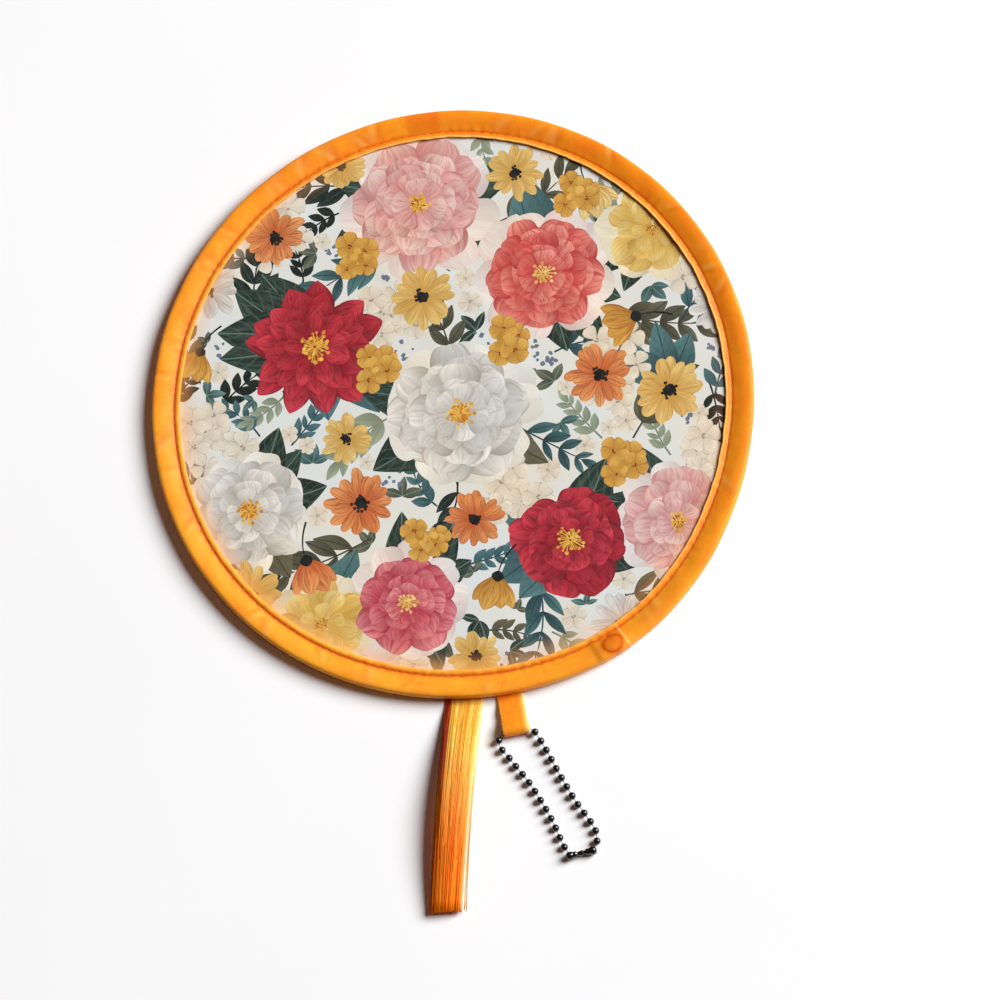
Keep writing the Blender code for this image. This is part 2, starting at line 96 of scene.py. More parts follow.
# The bead in the tunnel lies off the axis that the chain swings on, and needs this room to turn
TUNNEL_SLACK = 0.07 * MM
TUNNEL_RAMP = 5.5 * MM

TASSEL_AZIMUTH = math.radians(2.9)
TASSEL_WIDTH = 12.8 * MM
TASSEL_TIP_WIDTH = 10.4 * MM
TASSEL_LENGTH = 70.0 * MM
TASSEL_DRIFT = 8.6 * MM
TASSEL_ARCH = 4.4 * MM
TASSEL_THICKNESS = 3.5 * MM
TASSEL_SEWN_REACH = 9.6 * MM
STRANDS = 620
STRAY_STRANDS = 4

BEAD_RADIUS = 1.25 * MM
BEAD_PITCH = 3.54 * MM
BEAD_HOLE = 0.42 * MM
PIVOT_OFFSET = 0.53 * MM
LINK_LENGTH = BEAD_PITCH - 2 * PIVOT_OFFSET
WIRE_RADIUS = 0.105 * MM
HEAD_RADIUS = 0.47 * MM
TUNNEL_SHIFT = 0.3 * MM
TUNNEL_INSET = 0.35 * MM
# Which way each bead of a run points, and how much it rises, in degrees
LEFT_HEADINGS = (-64, -8, 46, 36, 40, 39, 36, 32, 31, 30, 28, 24, 22, 30, 42)
RIGHT_HEADINGS = (89, 34, 32, 29, 27, 29, 30, 30, 31, 35, 37, 35, 23, -6, -45)
SLOPES = (0, -9, -5, 0, 0, 0, 0, 0, 0, 0, 0, 0, 0, 3, 6)
# The chain bends before these beads of both runs
BEND_BEFORE = (3, 6, 9, 12)

CLASP_BORE = 1.35 * MM
CLASP_WALL = 0.25 * MM
CLASP_SLOT = math.radians(100)

# The disc's centre, from the binding's place in the frame
rim_low, rim_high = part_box("edge_binding")
DISC = Vector((rim_low[0] + FAN_RADIUS, rim_high[1] - FAN_RADIUS, 0.0))


def tint(red, green, blue):
    """A paint colour from its screen values, as the shaders take it."""
    steps = [value / 255 for value in (red, green, blue)]
    return tuple(v / 12.92 if v <= 0.04045 else ((v + 0.055) / 1.055) ** 2.4 for v in steps)


def smooth(low_end, high_end, value):
    share = np.clip((value - low_end) / (high_end - low_end), 0.0, 1.0)
    return share * share * (3 - 2 * share)


def hump(value, place, width):
    """A soft hump, 1 high at a place."""
    return np.exp(-((value - place) / width) ** 2)


def rim_radius(angle):
    """The rim's reach at an angle: round, with a soft point where the hoop's ends meet."""
    away = (np.asarray(angle) - PEAK_ANGLE + math.pi) % math.tau - math.pi
    return FAN_RADIUS + PEAK_RISE * hump(away, 0, PEAK_SPREAD)


def painted_glow_side(angle):
    """How far the rim has turned towards the side with the painted golden glow, from 0 to 1."""
    return 0.5 - 0.5 * np.cos(angle - PAINTED_GLOW_TURN)


def off(x, y, turn, reach):
    """The place at a reach from x, y, in the direction of a turn."""
    return x + reach * math.cos(turn), y + reach * math.sin(turn)


# Shader helpers


def feed(tree, socket, value):
    """Links a socket to what gives its value, or sets its value; a plain colour gets its alpha."""
    if isinstance(value, bpy.types.NodeSocket):
        tree.links.new(value, socket)
    elif socket.type == "RGBA":
        socket.default_value = (*value[:3], 1.0)
    else:
        socket.default_value = value


def put(tree, kind, inputs=None, **settings):
    """Adds a node with its settings, and feeds its inputs."""
    node = tree.nodes.new(kind)
    for key, value in settings.items():
        setattr(node, key, value)
    for key, value in (inputs or {}).items():
        feed(tree, node.inputs[key], value)
    return node


def calc(tree, operation, *values):
    return put(tree, "ShaderNodeMath", dict(enumerate(values)), operation=operation).outputs[0]


def blend_colour(tree, share, first, second, way="MIX"):
    return put(tree, "ShaderNodeMix", {0: share, 6: first, 7: second}, data_type="RGBA",
               blend_type=way, clamp_factor=True).outputs[2]


def remap(tree, value, low_in, high_in, low_out, high_out):
    return put(tree, "ShaderNodeMapRange", {
        0: value, 1: low_in, 2: high_in, 3: low_out, 4: high_out}).outputs[0]


def stretched(tree, place, stretch):
    return put(tree, "ShaderNodeVectorMath", {0: place, 1: stretch}, operation="MULTIPLY").outputs[0]


def split(tree, vector):
    return put(tree, "ShaderNodeSeparateXYZ", {0: vector}).outputs


def read(tree, name, output="Vector"):
    """What a layer of the mesh holds at each point of its surface."""
    return put(tree, "ShaderNodeAttribute", attribute_name=name).outputs[output]


def object_place(tree):
    return put(tree, "ShaderNodeTexCoord").outputs["Object"]


def shared_group(name, inputs, outputs):
    """An empty shader group with its inputs, given as {name: default}, and outputs for values."""
    group = bpy.data.node_groups.new(name, "ShaderNodeTree")
    for label, default in inputs.items():
        kind = "NodeSocketVector" if isinstance(default, tuple) else "NodeSocketFloat"
        group.interface.new_socket(label, in_out="INPUT", socket_type=kind).default_value = default
    for label in outputs:
        group.interface.new_socket(label, in_out="OUTPUT", socket_type="NodeSocketFloat")
    start, end = group.nodes.new("NodeGroupInput"), group.nodes.new("NodeGroupOutput")
    return group, start.outputs, end.inputs


def weave_group():
    """Threads that pass over and under each other, from a flat place given in metres."""
    group, start, end = shared_group(
        "crossed_threads", {"Place": (0, 0, 0), "Pitch": 0.3 * MM, "Float": 1.0}, ["Height", "Tone"])
    x, y, _ = split(group, start["Place"])
    turns = calc(group, "DIVIDE", math.pi, start["Pitch"])
    across = calc(group, "MULTIPLY", x, turns)
    along = calc(group, "DIVIDE", calc(group, "MULTIPLY", y, turns), start["Float"])
    warp = calc(group, "ABSOLUTE", calc(group, "SINE", across))
    weft = calc(group, "ABSOLUTE", calc(group, "SINE", along))
    over = calc(group, "MULTIPLY", calc(group, "COSINE", across), calc(group, "COSINE", along))
    over = remap(group, over, -0.2, 0.2, 0.0, 1.0)
    height = calc(group, "ADD", calc(group, "MULTIPLY", warp, over),
                  calc(group, "MULTIPLY", weft, calc(group, "SUBTRACT", 1.0, over)))
    uneven = put(group, "ShaderNodeTexNoise", {
        "Vector": stretched(group, start["Place"], (9000, 700, 900)), "Scale": 0.6, "Detail": 2.0})
    feed(group, end["Height"], height)
    feed(group, end["Tone"], uneven.outputs[0])
    return group


def mottle_group():
    """Soft unevenness between two values, at a scale in patches per metre."""
    group, start, end = shared_group(
        "soft_mottle",
        {"Place": (0, 0, 0), "Stretch": (1, 1, 1), "Patches": 100.0, "Low": 0.0, "High": 1.0},
        ["Value"])
    noise = put(group, "ShaderNodeTexNoise", {
        "Vector": stretched(group, start["Place"], start["Stretch"]), "Scale": start["Patches"],
        "Detail": 3.0, "Roughness": 0.55})
    feed(group, end["Value"], remap(group, noise.outputs[0], 0.3, 0.7, start["Low"], start["High"]))
    return group


WEAVE = weave_group()
MOTTLE = mottle_group()


def woven(tree, place, pitch, over):
    """Height and tone of crossed threads that each pass over a number of others."""
    return put(tree, "ShaderNodeGroup", {"Place": place, "Pitch": pitch, "Float": over},
               node_tree=WEAVE).outputs


def mottled(tree, place, patches, stretch=(1, 1, 1), low=0.0, high=1.0):
    return put(tree, "ShaderNodeGroup", {"Place": place, "Patches": patches, "Stretch": stretch,
                                         "Low": low, "High": high}, node_tree=MOTTLE).outputs[0]


def material(name, roughness, metallic=0.0, **settings):
    """A material with its Principled shader; settings go straight on the shader's sockets."""
    mat = bpy.data.materials.new(name)
    mat.use_nodes = True
    shader = mat.node_tree.nodes["Principled BSDF"]
    for key, value in dict(settings, Roughness=roughness, Metallic=metallic).items():
        feed(mat.node_tree, shader.inputs[key.replace("_", " ")], value)
    return mat, mat.node_tree, shader


def paint(tree, shader, colour, roughness):
    feed(tree, shader.inputs["Base Color"], colour)
    feed(tree, shader.inputs["Roughness"], roughness)


def bump(tree, shader, height, distance, strength=1.0):
    node = put(tree, "ShaderNodeBump", {"Strength": strength, "Distance": distance, "Height": height})
    feed(tree, shader.inputs["Normal"], node.outputs[0])


# Finishes


def satin(name, deep, bright, golden, pale, groove):
    """Satin tape or ribbon: mottled colour as painted sheen, fine warp lines, painted highlights along its
    edges, and a dark seam with painted shade.

    The piece's painted_light_zone layer says where its painted shade, its painted golden glow and its
    painted highlights are."""
    mat, tree, shader = material(name, 0.42, Sheen_Weight=0.12, Sheen_Roughness=0.35,
                                 Sheen_Tint=(1.0, 0.45, 0.05), Specular_IOR_Level=0.22,
                                 Subsurface_Weight=0.1, Subsurface_Radius=(1.0, 0.3, 0.04),
                                 Subsurface_Scale=1.0 * MM)
    tape = read(tree, "tape")
    seam, side, edge = split(tree, read(tree, "painted_light_zone"))
    # Patches of deep and bright orange make a painted satin sheen; the same patches also vary the roughness
    patches = mottled(tree, tape, 70.0, (1, 2.2, 1))
    blots = mottled(tree, tape, 190.0, (1, 1.4, 1))
    streaks = mottled(tree, tape, 260.0, (1, 14, 1))
    share = calc(tree, "MULTIPLY_ADD", patches, 0.6, calc(tree, "MULTIPLY", streaks, 0.25))
    share = calc(tree, "MULTIPLY_ADD", blots, 0.25, share)
    colour = blend_colour(tree, share, deep, bright)
    # Painted golden glow on one side of the rim, patchy with the painted sheen
    gold = calc(tree, "MULTIPLY", side, remap(tree, patches, 0, 1, 0.55, 1.0))
    colour = blend_colour(tree, gold, colour, golden)
    relief, tone = woven(tree, tape, TAPE_THREAD, 2.0)
    # Paler warp lines, tinted towards the painted highlight colour
    colour = blend_colour(tree, remap(tree, tone, 0.4, 0.75, 0.0, 0.16), colour, pale)
    # Painted highlights: along the lip, on the lap's raw edge, beside the creases and along the tab's edges
    colour = blend_colour(tree, edge, colour, pale)
    # Painted shade: in the seam's groove, in the creases, round the knob and along the tab's fold; the knob
    # itself takes this colour weakly
    colour = blend_colour(tree, seam, colour, groove)
    paint(tree, shader, colour, remap(tree, patches, 0, 1, 0.5, 0.36))
    bump(tree, shader, relief, THREAD_RELIEF, 0.4)
    return mat


def strand_finish():
    """Straight rayon strands with painted light: gold where they arch into the light, deep orange at the
    tip.
    """
    mat, tree, shader = material("tassel_rayon", 0.45, Specular_IOR_Level=0.2, Sheen_Weight=0.15,
                                 Sheen_Roughness=0.4, Sheen_Tint=(1.0, 0.5, 0.08))
    strand = read(tree, "strand")
    _, tone, _ = split(tree, strand)
    colour = blend_colour(tree, tone, read(tree, "shade", "Color"), read(tree, "glow", "Color"))
    lines = mottled(tree, strand, 3.0, (2, 40, 60), high=0.22)
    colour = blend_colour(tree, lines, colour, tint(226, 88, 2))
    paint(tree, shader, colour, remap(tree, lines, 0, 0.22, 0.36, 0.5))
    return mat


def thread_finish():
    """Twisted sewing thread."""
    mat, tree, shader = material("seam_thread", 0.5, Sheen_Weight=0.2)
    place = object_place(tree)
    colour = blend_colour(tree, mottled(tree, place, 900.0), tint(214, 86, 2), tint(240, 112, 6))
    feed(tree, shader.inputs["Base Color"], colour)
    bump(tree, shader, mottled(tree, place, 6000.0), 0.03 * MM)
    return mat


def black_finish():
    """Black plating: glossy, with faint rubbed spots."""
    mat, tree, shader = material("black_plating", 0.2, 0.35, Coat_Weight=0.6, Coat_Roughness=0.08,
                                 Specular_IOR_Level=0.6)
    place = object_place(tree)
    rubbed = mottled(tree, place, 700.0)
    fine = mottled(tree, place, 5200.0, low=-0.04, high=0.04)
    colour = blend_colour(tree, rubbed, (0.006, 0.006, 0.007), (0.016, 0.015, 0.015))
    paint(tree, shader, colour, calc(tree, "ADD", remap(tree, rubbed, 0, 1, 0.15, 0.3), fine))
    return mat


def steel_finish():
    """Drawn spring strip, with fine lines along it."""
    mat, tree, shader = material("spring_strip", 0.3, 1.0)
    lines = mottled(tree, object_place(tree), 500.0, (1, 1, 30))
    colour = blend_colour(tree, lines, (0.42, 0.43, 0.45), (0.62, 0.63, 0.65))
    paint(tree, shader, colour, remap(tree, lines, 0, 1, 0.24, 0.4))
    return mat


def print_finish(name, fade):
    """Cloth with its print, from the inks that each shape of the print carries."""
    mat, tree, shader = material(name, 0.7, Sheen_Weight=0.04, Sheen_Roughness=0.5,
                                 Specular_IOR_Level=0.22)
    ink, accent = read(tree, "ink", "Color"), read(tree, "accent", "Color")
    u, v, seed = split(tree, read(tree, "motif"))
    lean_power, side_power, half = split(tree, read(tree, "cut"))
    streak_force, rim_force, vein_force = split(tree, read(tree, "force"))
    wide = calc(tree, "POWER", calc(tree, "MAXIMUM", u, 0.0001), lean_power)
    wide = calc(tree, "SINE", calc(tree, "MULTIPLY", wide, math.pi))
    wide = calc(tree, "POWER", calc(tree, "MAXIMUM", wide, 0.003), side_power)
    side = calc(tree, "DIVIDE", v, calc(tree, "MAXIMUM", wide, 0.06))
    from_rib = calc(tree, "ABSOLUTE", side)
    # Brush streaks that run from a petal's foot to its tip
    where = put(tree, "ShaderNodeCombineXYZ", {
        0: calc(tree, "MULTIPLY", u, 1.3), 1: calc(tree, "MULTIPLY", side, 3.4), 2: seed})
    brush = put(tree, "ShaderNodeTexNoise", {
        "Vector": where.outputs[0], "Scale": 1.6, "Detail": 4.0, "Roughness": 0.6, "Distortion": 0.5})
    streak = remap(tree, brush.outputs[0], 0.42, 0.68, 0.0, 1.0)
    colour = blend_colour(tree, calc(tree, "MULTIPLY", streak, streak_force), ink, accent)
    # Darker rims where petals meet
    rim = calc(tree, "POWER", remap(tree, from_rib, 0.72, 1.0, 0.0, 1.0), 1.6)
    colour = blend_colour(tree, calc(tree, "MULTIPLY", rim, rim_force), colour, accent)
    # Midrib and side veins of the leaves
    from_middle = calc(tree, "MULTIPLY", calc(tree, "ABSOLUTE", v), half)
    rib = remap(tree, from_middle, 0.08, 0.3, 1.0, 0.0)
    rise = calc(tree, "MULTIPLY_ADD", from_rib, -0.22, u)
    vein = remap(tree, calc(tree, "SINE", calc(tree, "MULTIPLY", rise, 44.0)), 0.8, 1.0, 0.0, 0.28)
    vein = calc(tree, "MULTIPLY", calc(tree, "MAXIMUM", rib, vein), vein_force)
    colour = blend_colour(tree, vein, colour, accent)
    # Watery unevenness over the whole cloth
    place = object_place(tree)
    wash = blend_colour(tree, mottled(tree, place, 24.0), tint(255, 245, 229), tint(246, 251, 254))
    colour = blend_colour(tree, 1.0, colour, wash, "MULTIPLY")
    grain = mottled(tree, place, 520.0, high=0.035)
    colour = blend_colour(tree, grain, colour, tint(205, 196, 190))
    if fade:
        colour = blend_colour(tree, fade, colour, tint(232, 232, 230))
    relief, tone = woven(tree, place, CLOTH_THREAD, 1.0)
    paint(tree, shader, colour, remap(tree, tone, 0, 1, 0.55, 0.7))
    bump(tree, shader, relief, THREAD_RELIEF, 0.4)
    return mat


# Mesh helpers


def hold(name, verts, faces, mats, body):
    """Makes a piece of the fan from points and faces, and hangs it on its body."""
    mesh = bpy.data.meshes.new(name)
    mesh.from_pydata([tuple(p) for p in verts], [], faces)
    mesh.shade_smooth()
    for mat in mats if isinstance(mats, list) else [mats]:
        mesh.materials.append(mat)
    piece = bpy.data.objects.new(name, mesh)
    bpy.context.scene.collection.objects.link(piece)
    if body:
        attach(piece, body)
    return piece


def corner_layer(piece, name, values):
    """Keeps a colour or a vector for each corner of a piece's faces."""
    values = np.asarray(values, np.float32)
    kind, key = ("FLOAT_COLOR", "color") if values.shape[-1] == 4 else ("FLOAT_VECTOR", "vector")
    piece.data.attributes.new(name, kind, "CORNER").data.foreach_set(key, values.ravel())


def lengths_along(points):
    """How far along a flat line each of its points lies."""
    return np.concatenate([[0], np.cumsum(np.hypot(*np.diff(points, axis=0).T))])


def leftwards(points):
    """Unit vectors to the left of a flat line, one for each of its points."""
    ahead = np.gradient(points, axis=0)
    ahead /= np.linalg.norm(ahead, axis=1)[:, None]
    return np.stack([-ahead[:, 1], ahead[:, 0]], 1)


def skin(rings, closed=False, capped=True):
    """Faces over rings of points, with each corner's row and column for flat places."""
    rows, cols = len(rings), len(rings[0])
    faces, corners = [], []
    for i in range(rows if closed else rows - 1):
        for j in range(cols):
            faces.append((i * cols + j, (i + 1) % rows * cols + j,
                          (i + 1) % rows * cols + (j + 1) % cols, i * cols + (j + 1) % cols))
            corners += [(i, j), (i + 1, j), (i + 1, j + 1), (i, j + 1)]
    if not closed and capped:
        for row, order in ((0, 1), (rows - 1, -1)):
            faces.append(tuple(row * cols + j for j in range(cols))[::order])
            corners += [(row, j) for j in range(cols)][::order]
    return faces, np.array(corners)


def radial_frame(azimuth, reach, height):
    """X along the rim, Y outwards and Z up, at a place past the rim."""
    out = Vector((math.sin(azimuth), -math.cos(azimuth), 0))
    along = Vector((-math.cos(azimuth), -math.sin(azimuth), 0))
    place = Matrix((along, out, UP)).transposed().to_4x4()
    place.translation = out * (float(rim_radius(azimuth - math.pi / 2)) + reach) + UP * height + DISC
    return place


def frame_along(centre, direction, up=UP):
    x = direction.normalized()
    y = up.cross(x).normalized()
    place = Matrix((x, y, x.cross(y))).transposed().to_4x4()
    place.translation = centre
    return place


def waves(rng, count, slowest, fastest, across=0.0):
    """Random ripples round the rim: (turns, phase, slant across the width, size)."""
    return [(rng.randint(slowest, fastest), rng.random() * math.tau,
             rng.uniform(-across, across), rng.uniform(0.5, 1.0)) for _ in range(count)]


def ripple(ripples, angle, depth):
    total = sum(size * np.sin(turns * angle + phase + slant * depth)
                for turns, phase, slant, size in ripples)
    return total / math.sqrt(len(ripples))


# Binding


def binding_profile():
    """The tape's section: its outside from the top lip round the rim to the bottom lip, and its
    inside round the hoop and the cloth. Each point is (depth from the rim, height)."""
    top = [(9.30, 0.40), (9.32, 0.56), (9.24, 0.72), (9.05, 0.82), (8.75, 0.88), (8.35, 0.90),
           (7.95, 0.84), (7.62, 0.70), (7.42, 0.57), (7.30, 0.53), (7.18, 0.57), (6.98, 0.70),
           (6.70, 0.84), (6.25, 0.99), (5.60, 1.20), (4.90, 1.42), (4.20, 1.62), (3.50, 1.79),
           (2.80, 1.91), (2.10, 1.98), (1.50, 2.00), (1.00, 1.96), (0.60, 1.86), (0.30, 1.66),
           (0.12, 1.36), (0.03, 0.95), (0.00, 0.45)]
    under = [(depth, -height) for depth, height in top[::-1]]
    channel = [(9.28, -0.16), (7.0, -0.2), (3.2, -1.4), (0.6, -1.5), (0.6, 1.5), (3.2, 1.4),
               (7.0, 0.2), (9.28, 0.16)]
    return np.array(top + [(0.0, 0.0)] + under) * MM, np.array(channel) * MM


def joint_swell(angle):
    """Swell over the sleeve and the lap of the tape's end, as shares."""
    share = (angle - FERRULE_ANGLE) * FAN_RADIUS / FERRULE_LENGTH
    rise = smooth(-0.95, -0.6, share)
    swell = rise * (1 - smooth(0.52, 0.95, share))
    return swell, rise * (1 - smooth(LAP_SHARE - 0.012, LAP_SHARE, share))


def from_knob(angle, depth):
    """Distance from the middle of the knob over the sleeve, as a share of the knob's half size."""
    return np.hypot((angle - FERRULE_ANGLE) * FAN_RADIUS / (3.3 * MM), (depth - 3.3 * MM) / (2.9 * MM))


def fold_marks(rng, angle, depth):
    """Creases across the tape: one broad folded place, and slim ones that crowd at the top left. They dent
    the tape, and its colour darkens in them as painted crease shade.
    """
    turns = [rng.gauss(118, 15) for _ in range(12)] + [rng.uniform(-180, 180) for _ in range(30)]
    marks = 0 * angle * depth
    for turn in turns:
        slant, wide, force = rng.uniform(-9, 9), rng.uniform(0.5, 2.2) * MM, rng.uniform(0.12, 0.38)
        away = angle - math.radians(turn) - slant * (depth - 4 * MM)
        reach = hump(depth, rng.uniform(1, 6) * MM, rng.uniform(1.8, 4) * MM)
        marks = np.maximum(marks, force * reach * hump(away * FAN_RADIUS, 0, wide))
    off_broad = np.abs(np.degrees(angle) - BROAD_FOLD)
    broad = 0.3 * (1 - smooth(2.9, 3.5, off_broad)) * smooth(7.4 * MM, 6.4 * MM, depth)
    return np.maximum(marks, broad)


def carried_round(angle, radius, height):
    """Points of a section carried round the disc."""
    return np.stack([radius * np.cos(angle), radius * np.sin(angle), height + 0 * angle], -1)


def tape_shell(angle, depth, height, dents, puckers, lip_waves, edge_waves, folds):
    """The tape's outside all round the rim, with its dents, puckers, folds, knob and lap."""
    swell, lap = joint_swell(angle)
    facing = np.sign(height)
    crest = smooth(7.2 * MM, 4.0 * MM, depth)
    lip = smooth(7.5 * MM, 8.6 * MM, depth)
    dent = ripple(dents, angle, depth) * 0.10 * MM * smooth(0.3 * MM, 2.5 * MM, depth)
    dent = dent * smooth(7.2 * MM, 5.5 * MM, depth)
    pull = ripple(puckers, angle, depth) * 0.075 * MM * hump(depth, SEAM_DEPTH, 1.9 * MM)
    curl = ripple(lip_waves, angle, 0.0) * 0.07 * MM * lip
    knob = np.exp(-0.7 * from_knob(angle, depth) ** 4)
    lift = facing * (dent + pull + curl + (swell * 0.5 + knob * 0.9) * FERRULE_SWELL * crest)
    # The side with the painted golden glow lies flat, and the other side stands up a little from the cloth
    stand = LIP_STAND * (1 - painted_glow_side(angle)) * smooth(8.2 * MM, 9.3 * MM, depth) * (facing > 0)
    lift = lift - facing * folds * 0.2 * MM * crest + stand
    lift = lift + facing * lap * TAPE_THICKNESS * smooth(8.8 * MM, 7.9 * MM, depth) * 0.8
    out = swell * 0.4 * FERRULE_SWELL * smooth(1.2 * MM, 0.0, depth)
    out = out + ripple(edge_waves, angle, 0.0) * 0.06 * MM
    inward = ripple(lip_waves, angle + 1.0, 0.0) * 0.10 * MM * lip
    return carried_round(angle, rim_radius(angle) - depth + out - inward, MID_HEIGHT + height + lift)


def tape_zone(angle, depth, puckers, folds):
    """Where the tape has painted shade (seam groove, creases, knob outline), painted golden glow and
    painted highlights (lip, lap edge, beside the slim creases), from 0 to 1.
    """
    golden = painted_glow_side(angle)
    wander = ripple(puckers, angle, 0.0) * 0.12 * MM
    # Painted shade in the seam's groove, stronger on the side with the painted glow
    seam = hump(depth - SEAM_DEPTH, wander, 0.6 * MM) * (0.3 + 0.6 * golden)
    knob = from_knob(angle, depth)
    # Painted shade round the knob's edge, and the same colour weakly over the knob itself
    knob_edge = 0.6 * hump(knob, 1.05, 0.2) + 0.42 * (knob < 1.05)
    # Painted shade in the creases as well
    seam = np.maximum(np.maximum(seam, knob_edge), folds)
    # Painted highlight along the lip, stronger on the side away from the painted glow
    edge = hump(depth, 9.0 * MM, 0.42 * MM) * (0.85 - 0.5 * golden)
    # Painted highlight along the lap's raw edge
    lap_highlight = hump((angle - LAP_END) * FAN_RADIUS, 0, 0.28 * MM) * 0.75
    edge = np.maximum(edge, lap_highlight * (depth < 9.0 * MM))
    # Painted highlights just beside the slim creases, but not at the broad fold
    off_broad = smooth(3.8, 5.2, np.abs(np.degrees(angle) - BROAD_FOLD))
    edge = np.maximum(edge, 0.9 * np.roll(folds, 3, axis=0) * off_broad * (depth < 6.6 * MM))
    # The second share is the painted golden glow
    return np.stack([seam, golden * 0.6 + 0 * depth, edge], -1)


def make_binding(mat):
    rng = random.Random(11)
    outside, channel = binding_profile()
    angles = np.linspace(-math.pi, math.pi, RIM_STEPS, endpoint=False)
    # Close rows at the lap, so that the tape's end is a sharp step
    angles = np.sort(np.concatenate([angles, LAP_END + np.linspace(-0.0014, 0.0006, 9)]))
    angle = angles[:, None]
    depth, height = outside[:, 0][None, :], outside[:, 1][None, :]
    dents, puckers = waves(rng, 9, 14, 60, 500), waves(rng, 10, 90, 210, 240)
    lip_waves, edge_waves = waves(rng, 8, 40, 150), waves(rng, 6, 5, 34)
    folds = fold_marks(rng, angle, depth)
    shell = tape_shell(angle, depth, height, dents, puckers, lip_waves, edge_waves, folds)
    inner = carried_round(angle, rim_radius(angle) - channel[:, 0][None, :],
                          MID_HEIGHT + channel[:, 1][None, :])
    rings = np.concatenate([shell, inner], 1) + np.array(DISC)
    faces, corners = skin(rings, closed=True)
    binding = hold("edge_binding_satin", rings.reshape(-1, 3), faces, mat, "fan")
    row, column = corners.T
    along = np.append(angles, angles[0] + math.tau)[row] * FAN_RADIUS
    across = lengths_along(np.concatenate([outside, channel, outside[:1]]))[column]
    corner_layer(binding, "tape", np.stack([along, across, 0 * across], 1))
    # Painted shade, painted glow and painted highlights, on the tape's outside only
    painted_light_zone = np.zeros(rings.shape)
    painted_light_zone[:, :len(outside)] = tape_zone(angle, depth, puckers, folds)
    corner_layer(binding, "painted_light_zone", painted_light_zone[row % len(angles), column % painted_light_zone.shape[1]])
    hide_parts("edge_binding")


def make_stitches(mat):
    """The seam's thread, one short hump for each stitch, on both faces of the binding."""
    sides, steps = 6, 7
    rng = random.Random(5)
    verts, faces = [], []
    stitch_faces, _ = skin(np.zeros((steps, sides, 3)))
    for face in (1, -1):
        for k in range(STITCHES):
            angle = math.tau * (k + rng.uniform(-0.08, 0.08)) / STITCHES
            half = rng.uniform(0.86, 0.98) * MM
            radius = float(rim_radius(angle)) - SEAM_DEPTH + rng.uniform(-0.05, 0.05) * MM
            _, lap = joint_swell(np.array(angle if angle < math.pi else angle - math.tau))
            raised = float(lap) * TAPE_THICKNESS * 0.8
            base = len(verts)
            for i in range(steps):
                share = 2 * i / (steps - 1) - 1
                turn = angle + share * half / radius
                height = 0.53 * MM + raised + (0.05 - 0.2 * share ** 4) * MM
                thick = 0.11 * MM * math.sqrt(max(0.12, 1 - share ** 6))
                for j in range(sides):
                    lean = math.tau * j / sides
                    verts.append((*off(DISC.x, DISC.y, turn, radius + 1.3 * thick * math.cos(lean)),
                                  MID_HEIGHT + face * (height + thick * math.sin(lean))))
            faces += [tuple(base + i for i in (f if face > 0 else f[::-1])) for f in stitch_faces]
    hold("seam_stitches", verts, faces, mat, "fan")


# Print on the cloth

GROUND = tint(226, 228, 225)
# Where the tape's lip meets the cloth, in mm from the disc's centre
CLOTH_EDGE = 91.0
SHAPES = []


def shape(outline, origin, direction, length, half, cut, inks, accent, force, seed, bend=0.0, side=0.0,
          start=0.05):
    SHAPES.append(dict(outline=np.asarray(outline, float), origin=origin, direction=direction,
                       length=length, half=half, cut=cut, inks=inks, accent=accent, force=force,
                       seed=seed, bend=bend, side=side, start=start))


def petal(x, y, turn, length, half, inks, accent, rng, cut=(1.9, 0.7), force=(0.7, 0.6, 0.0),
          ruffle=0.0, bend=0.0, side=0.12, notch=0.0, start=0.05):
    """A petal or leaf from its foot at x, y, in mm: its half width follows a power of a sine."""
    steps = max(7, int(length / 0.9))
    t = (1 - np.cos(np.linspace(0, math.pi, steps + 1))) / 2
    wide = half * np.sin(math.pi * t ** cut[0]) ** cut[1]
    up, down = wide.copy(), wide.copy()
    long_up, long_down = t * length, t * length
    if ruffle:
        for edge, run in ((up, long_up), (down, long_down)):
            a, b = rng.uniform(0, 6), rng.uniform(0, 6)
            wavy = np.sin(9 * t + a) * 0.6 + np.sin(17 * t + b) * 0.4
            edge *= 1 + ruffle * wavy * t
            run += ruffle * half * 0.5 * np.sin(13 * t + b) * t ** 2
    if notch:
        dip = notch * length * hump(wide, 0, 0.4 * half) * (t > 0.5)
        long_up, long_down = long_up - dip, long_down - dip
    rise = bend * t ** 2 * length
    outline = list(zip(long_up, up + rise)) + list(zip(long_down[-2:0:-1], (rise - down)[-2:0:-1]))
    c, s = math.cos(turn), math.sin(turn)
    outline = [(x + c * a - s * b, y + s * a + c * b) for a, b in outline]
    shape(outline, (x, y), (c, s), length, half, cut, inks, accent, force, rng.random() * 40,
          bend, side, start)


def plain(outline, place, length, half, ink, rng):
    """A shape in one ink, without streaks, rims or veins."""
    shape(outline, place, (1, 0), length, half, (1, 1), (ink, ink), ink, (0, 0, 0), rng.random() * 40)


def round_spot(x, y, radius, ink, rng, sides=10, uneven=0.15):
    phase = rng.random() * math.tau
    outline = []
    for i in range(sides):
        reach = radius * (1 + rng.uniform(-uneven, uneven))
        outline.append(off(x, y, phase + math.tau * i / sides, reach))
    plain(outline, (x, y), radius, radius, ink, rng)


def stem(points, wide, ink, rng):
    """A thin drawn line through points."""
    points = np.asarray(points, float)
    half = wide * np.linspace(0.55, 0.3, len(points))[:, None]
    aside = leftwards(points) * half
    plain(np.concatenate([points + aside, (points - aside)[::-1]]), tuple(points[0]), 10, 1, ink, rng)


def mixed(first, second, share):
    return tuple(a + (b - a) * share for a, b in zip(first, second))


def tones(inks, low_share, high_share):
    """Two colours between a pair of inks."""
    return mixed(*inks, low_share), mixed(*inks, high_share)


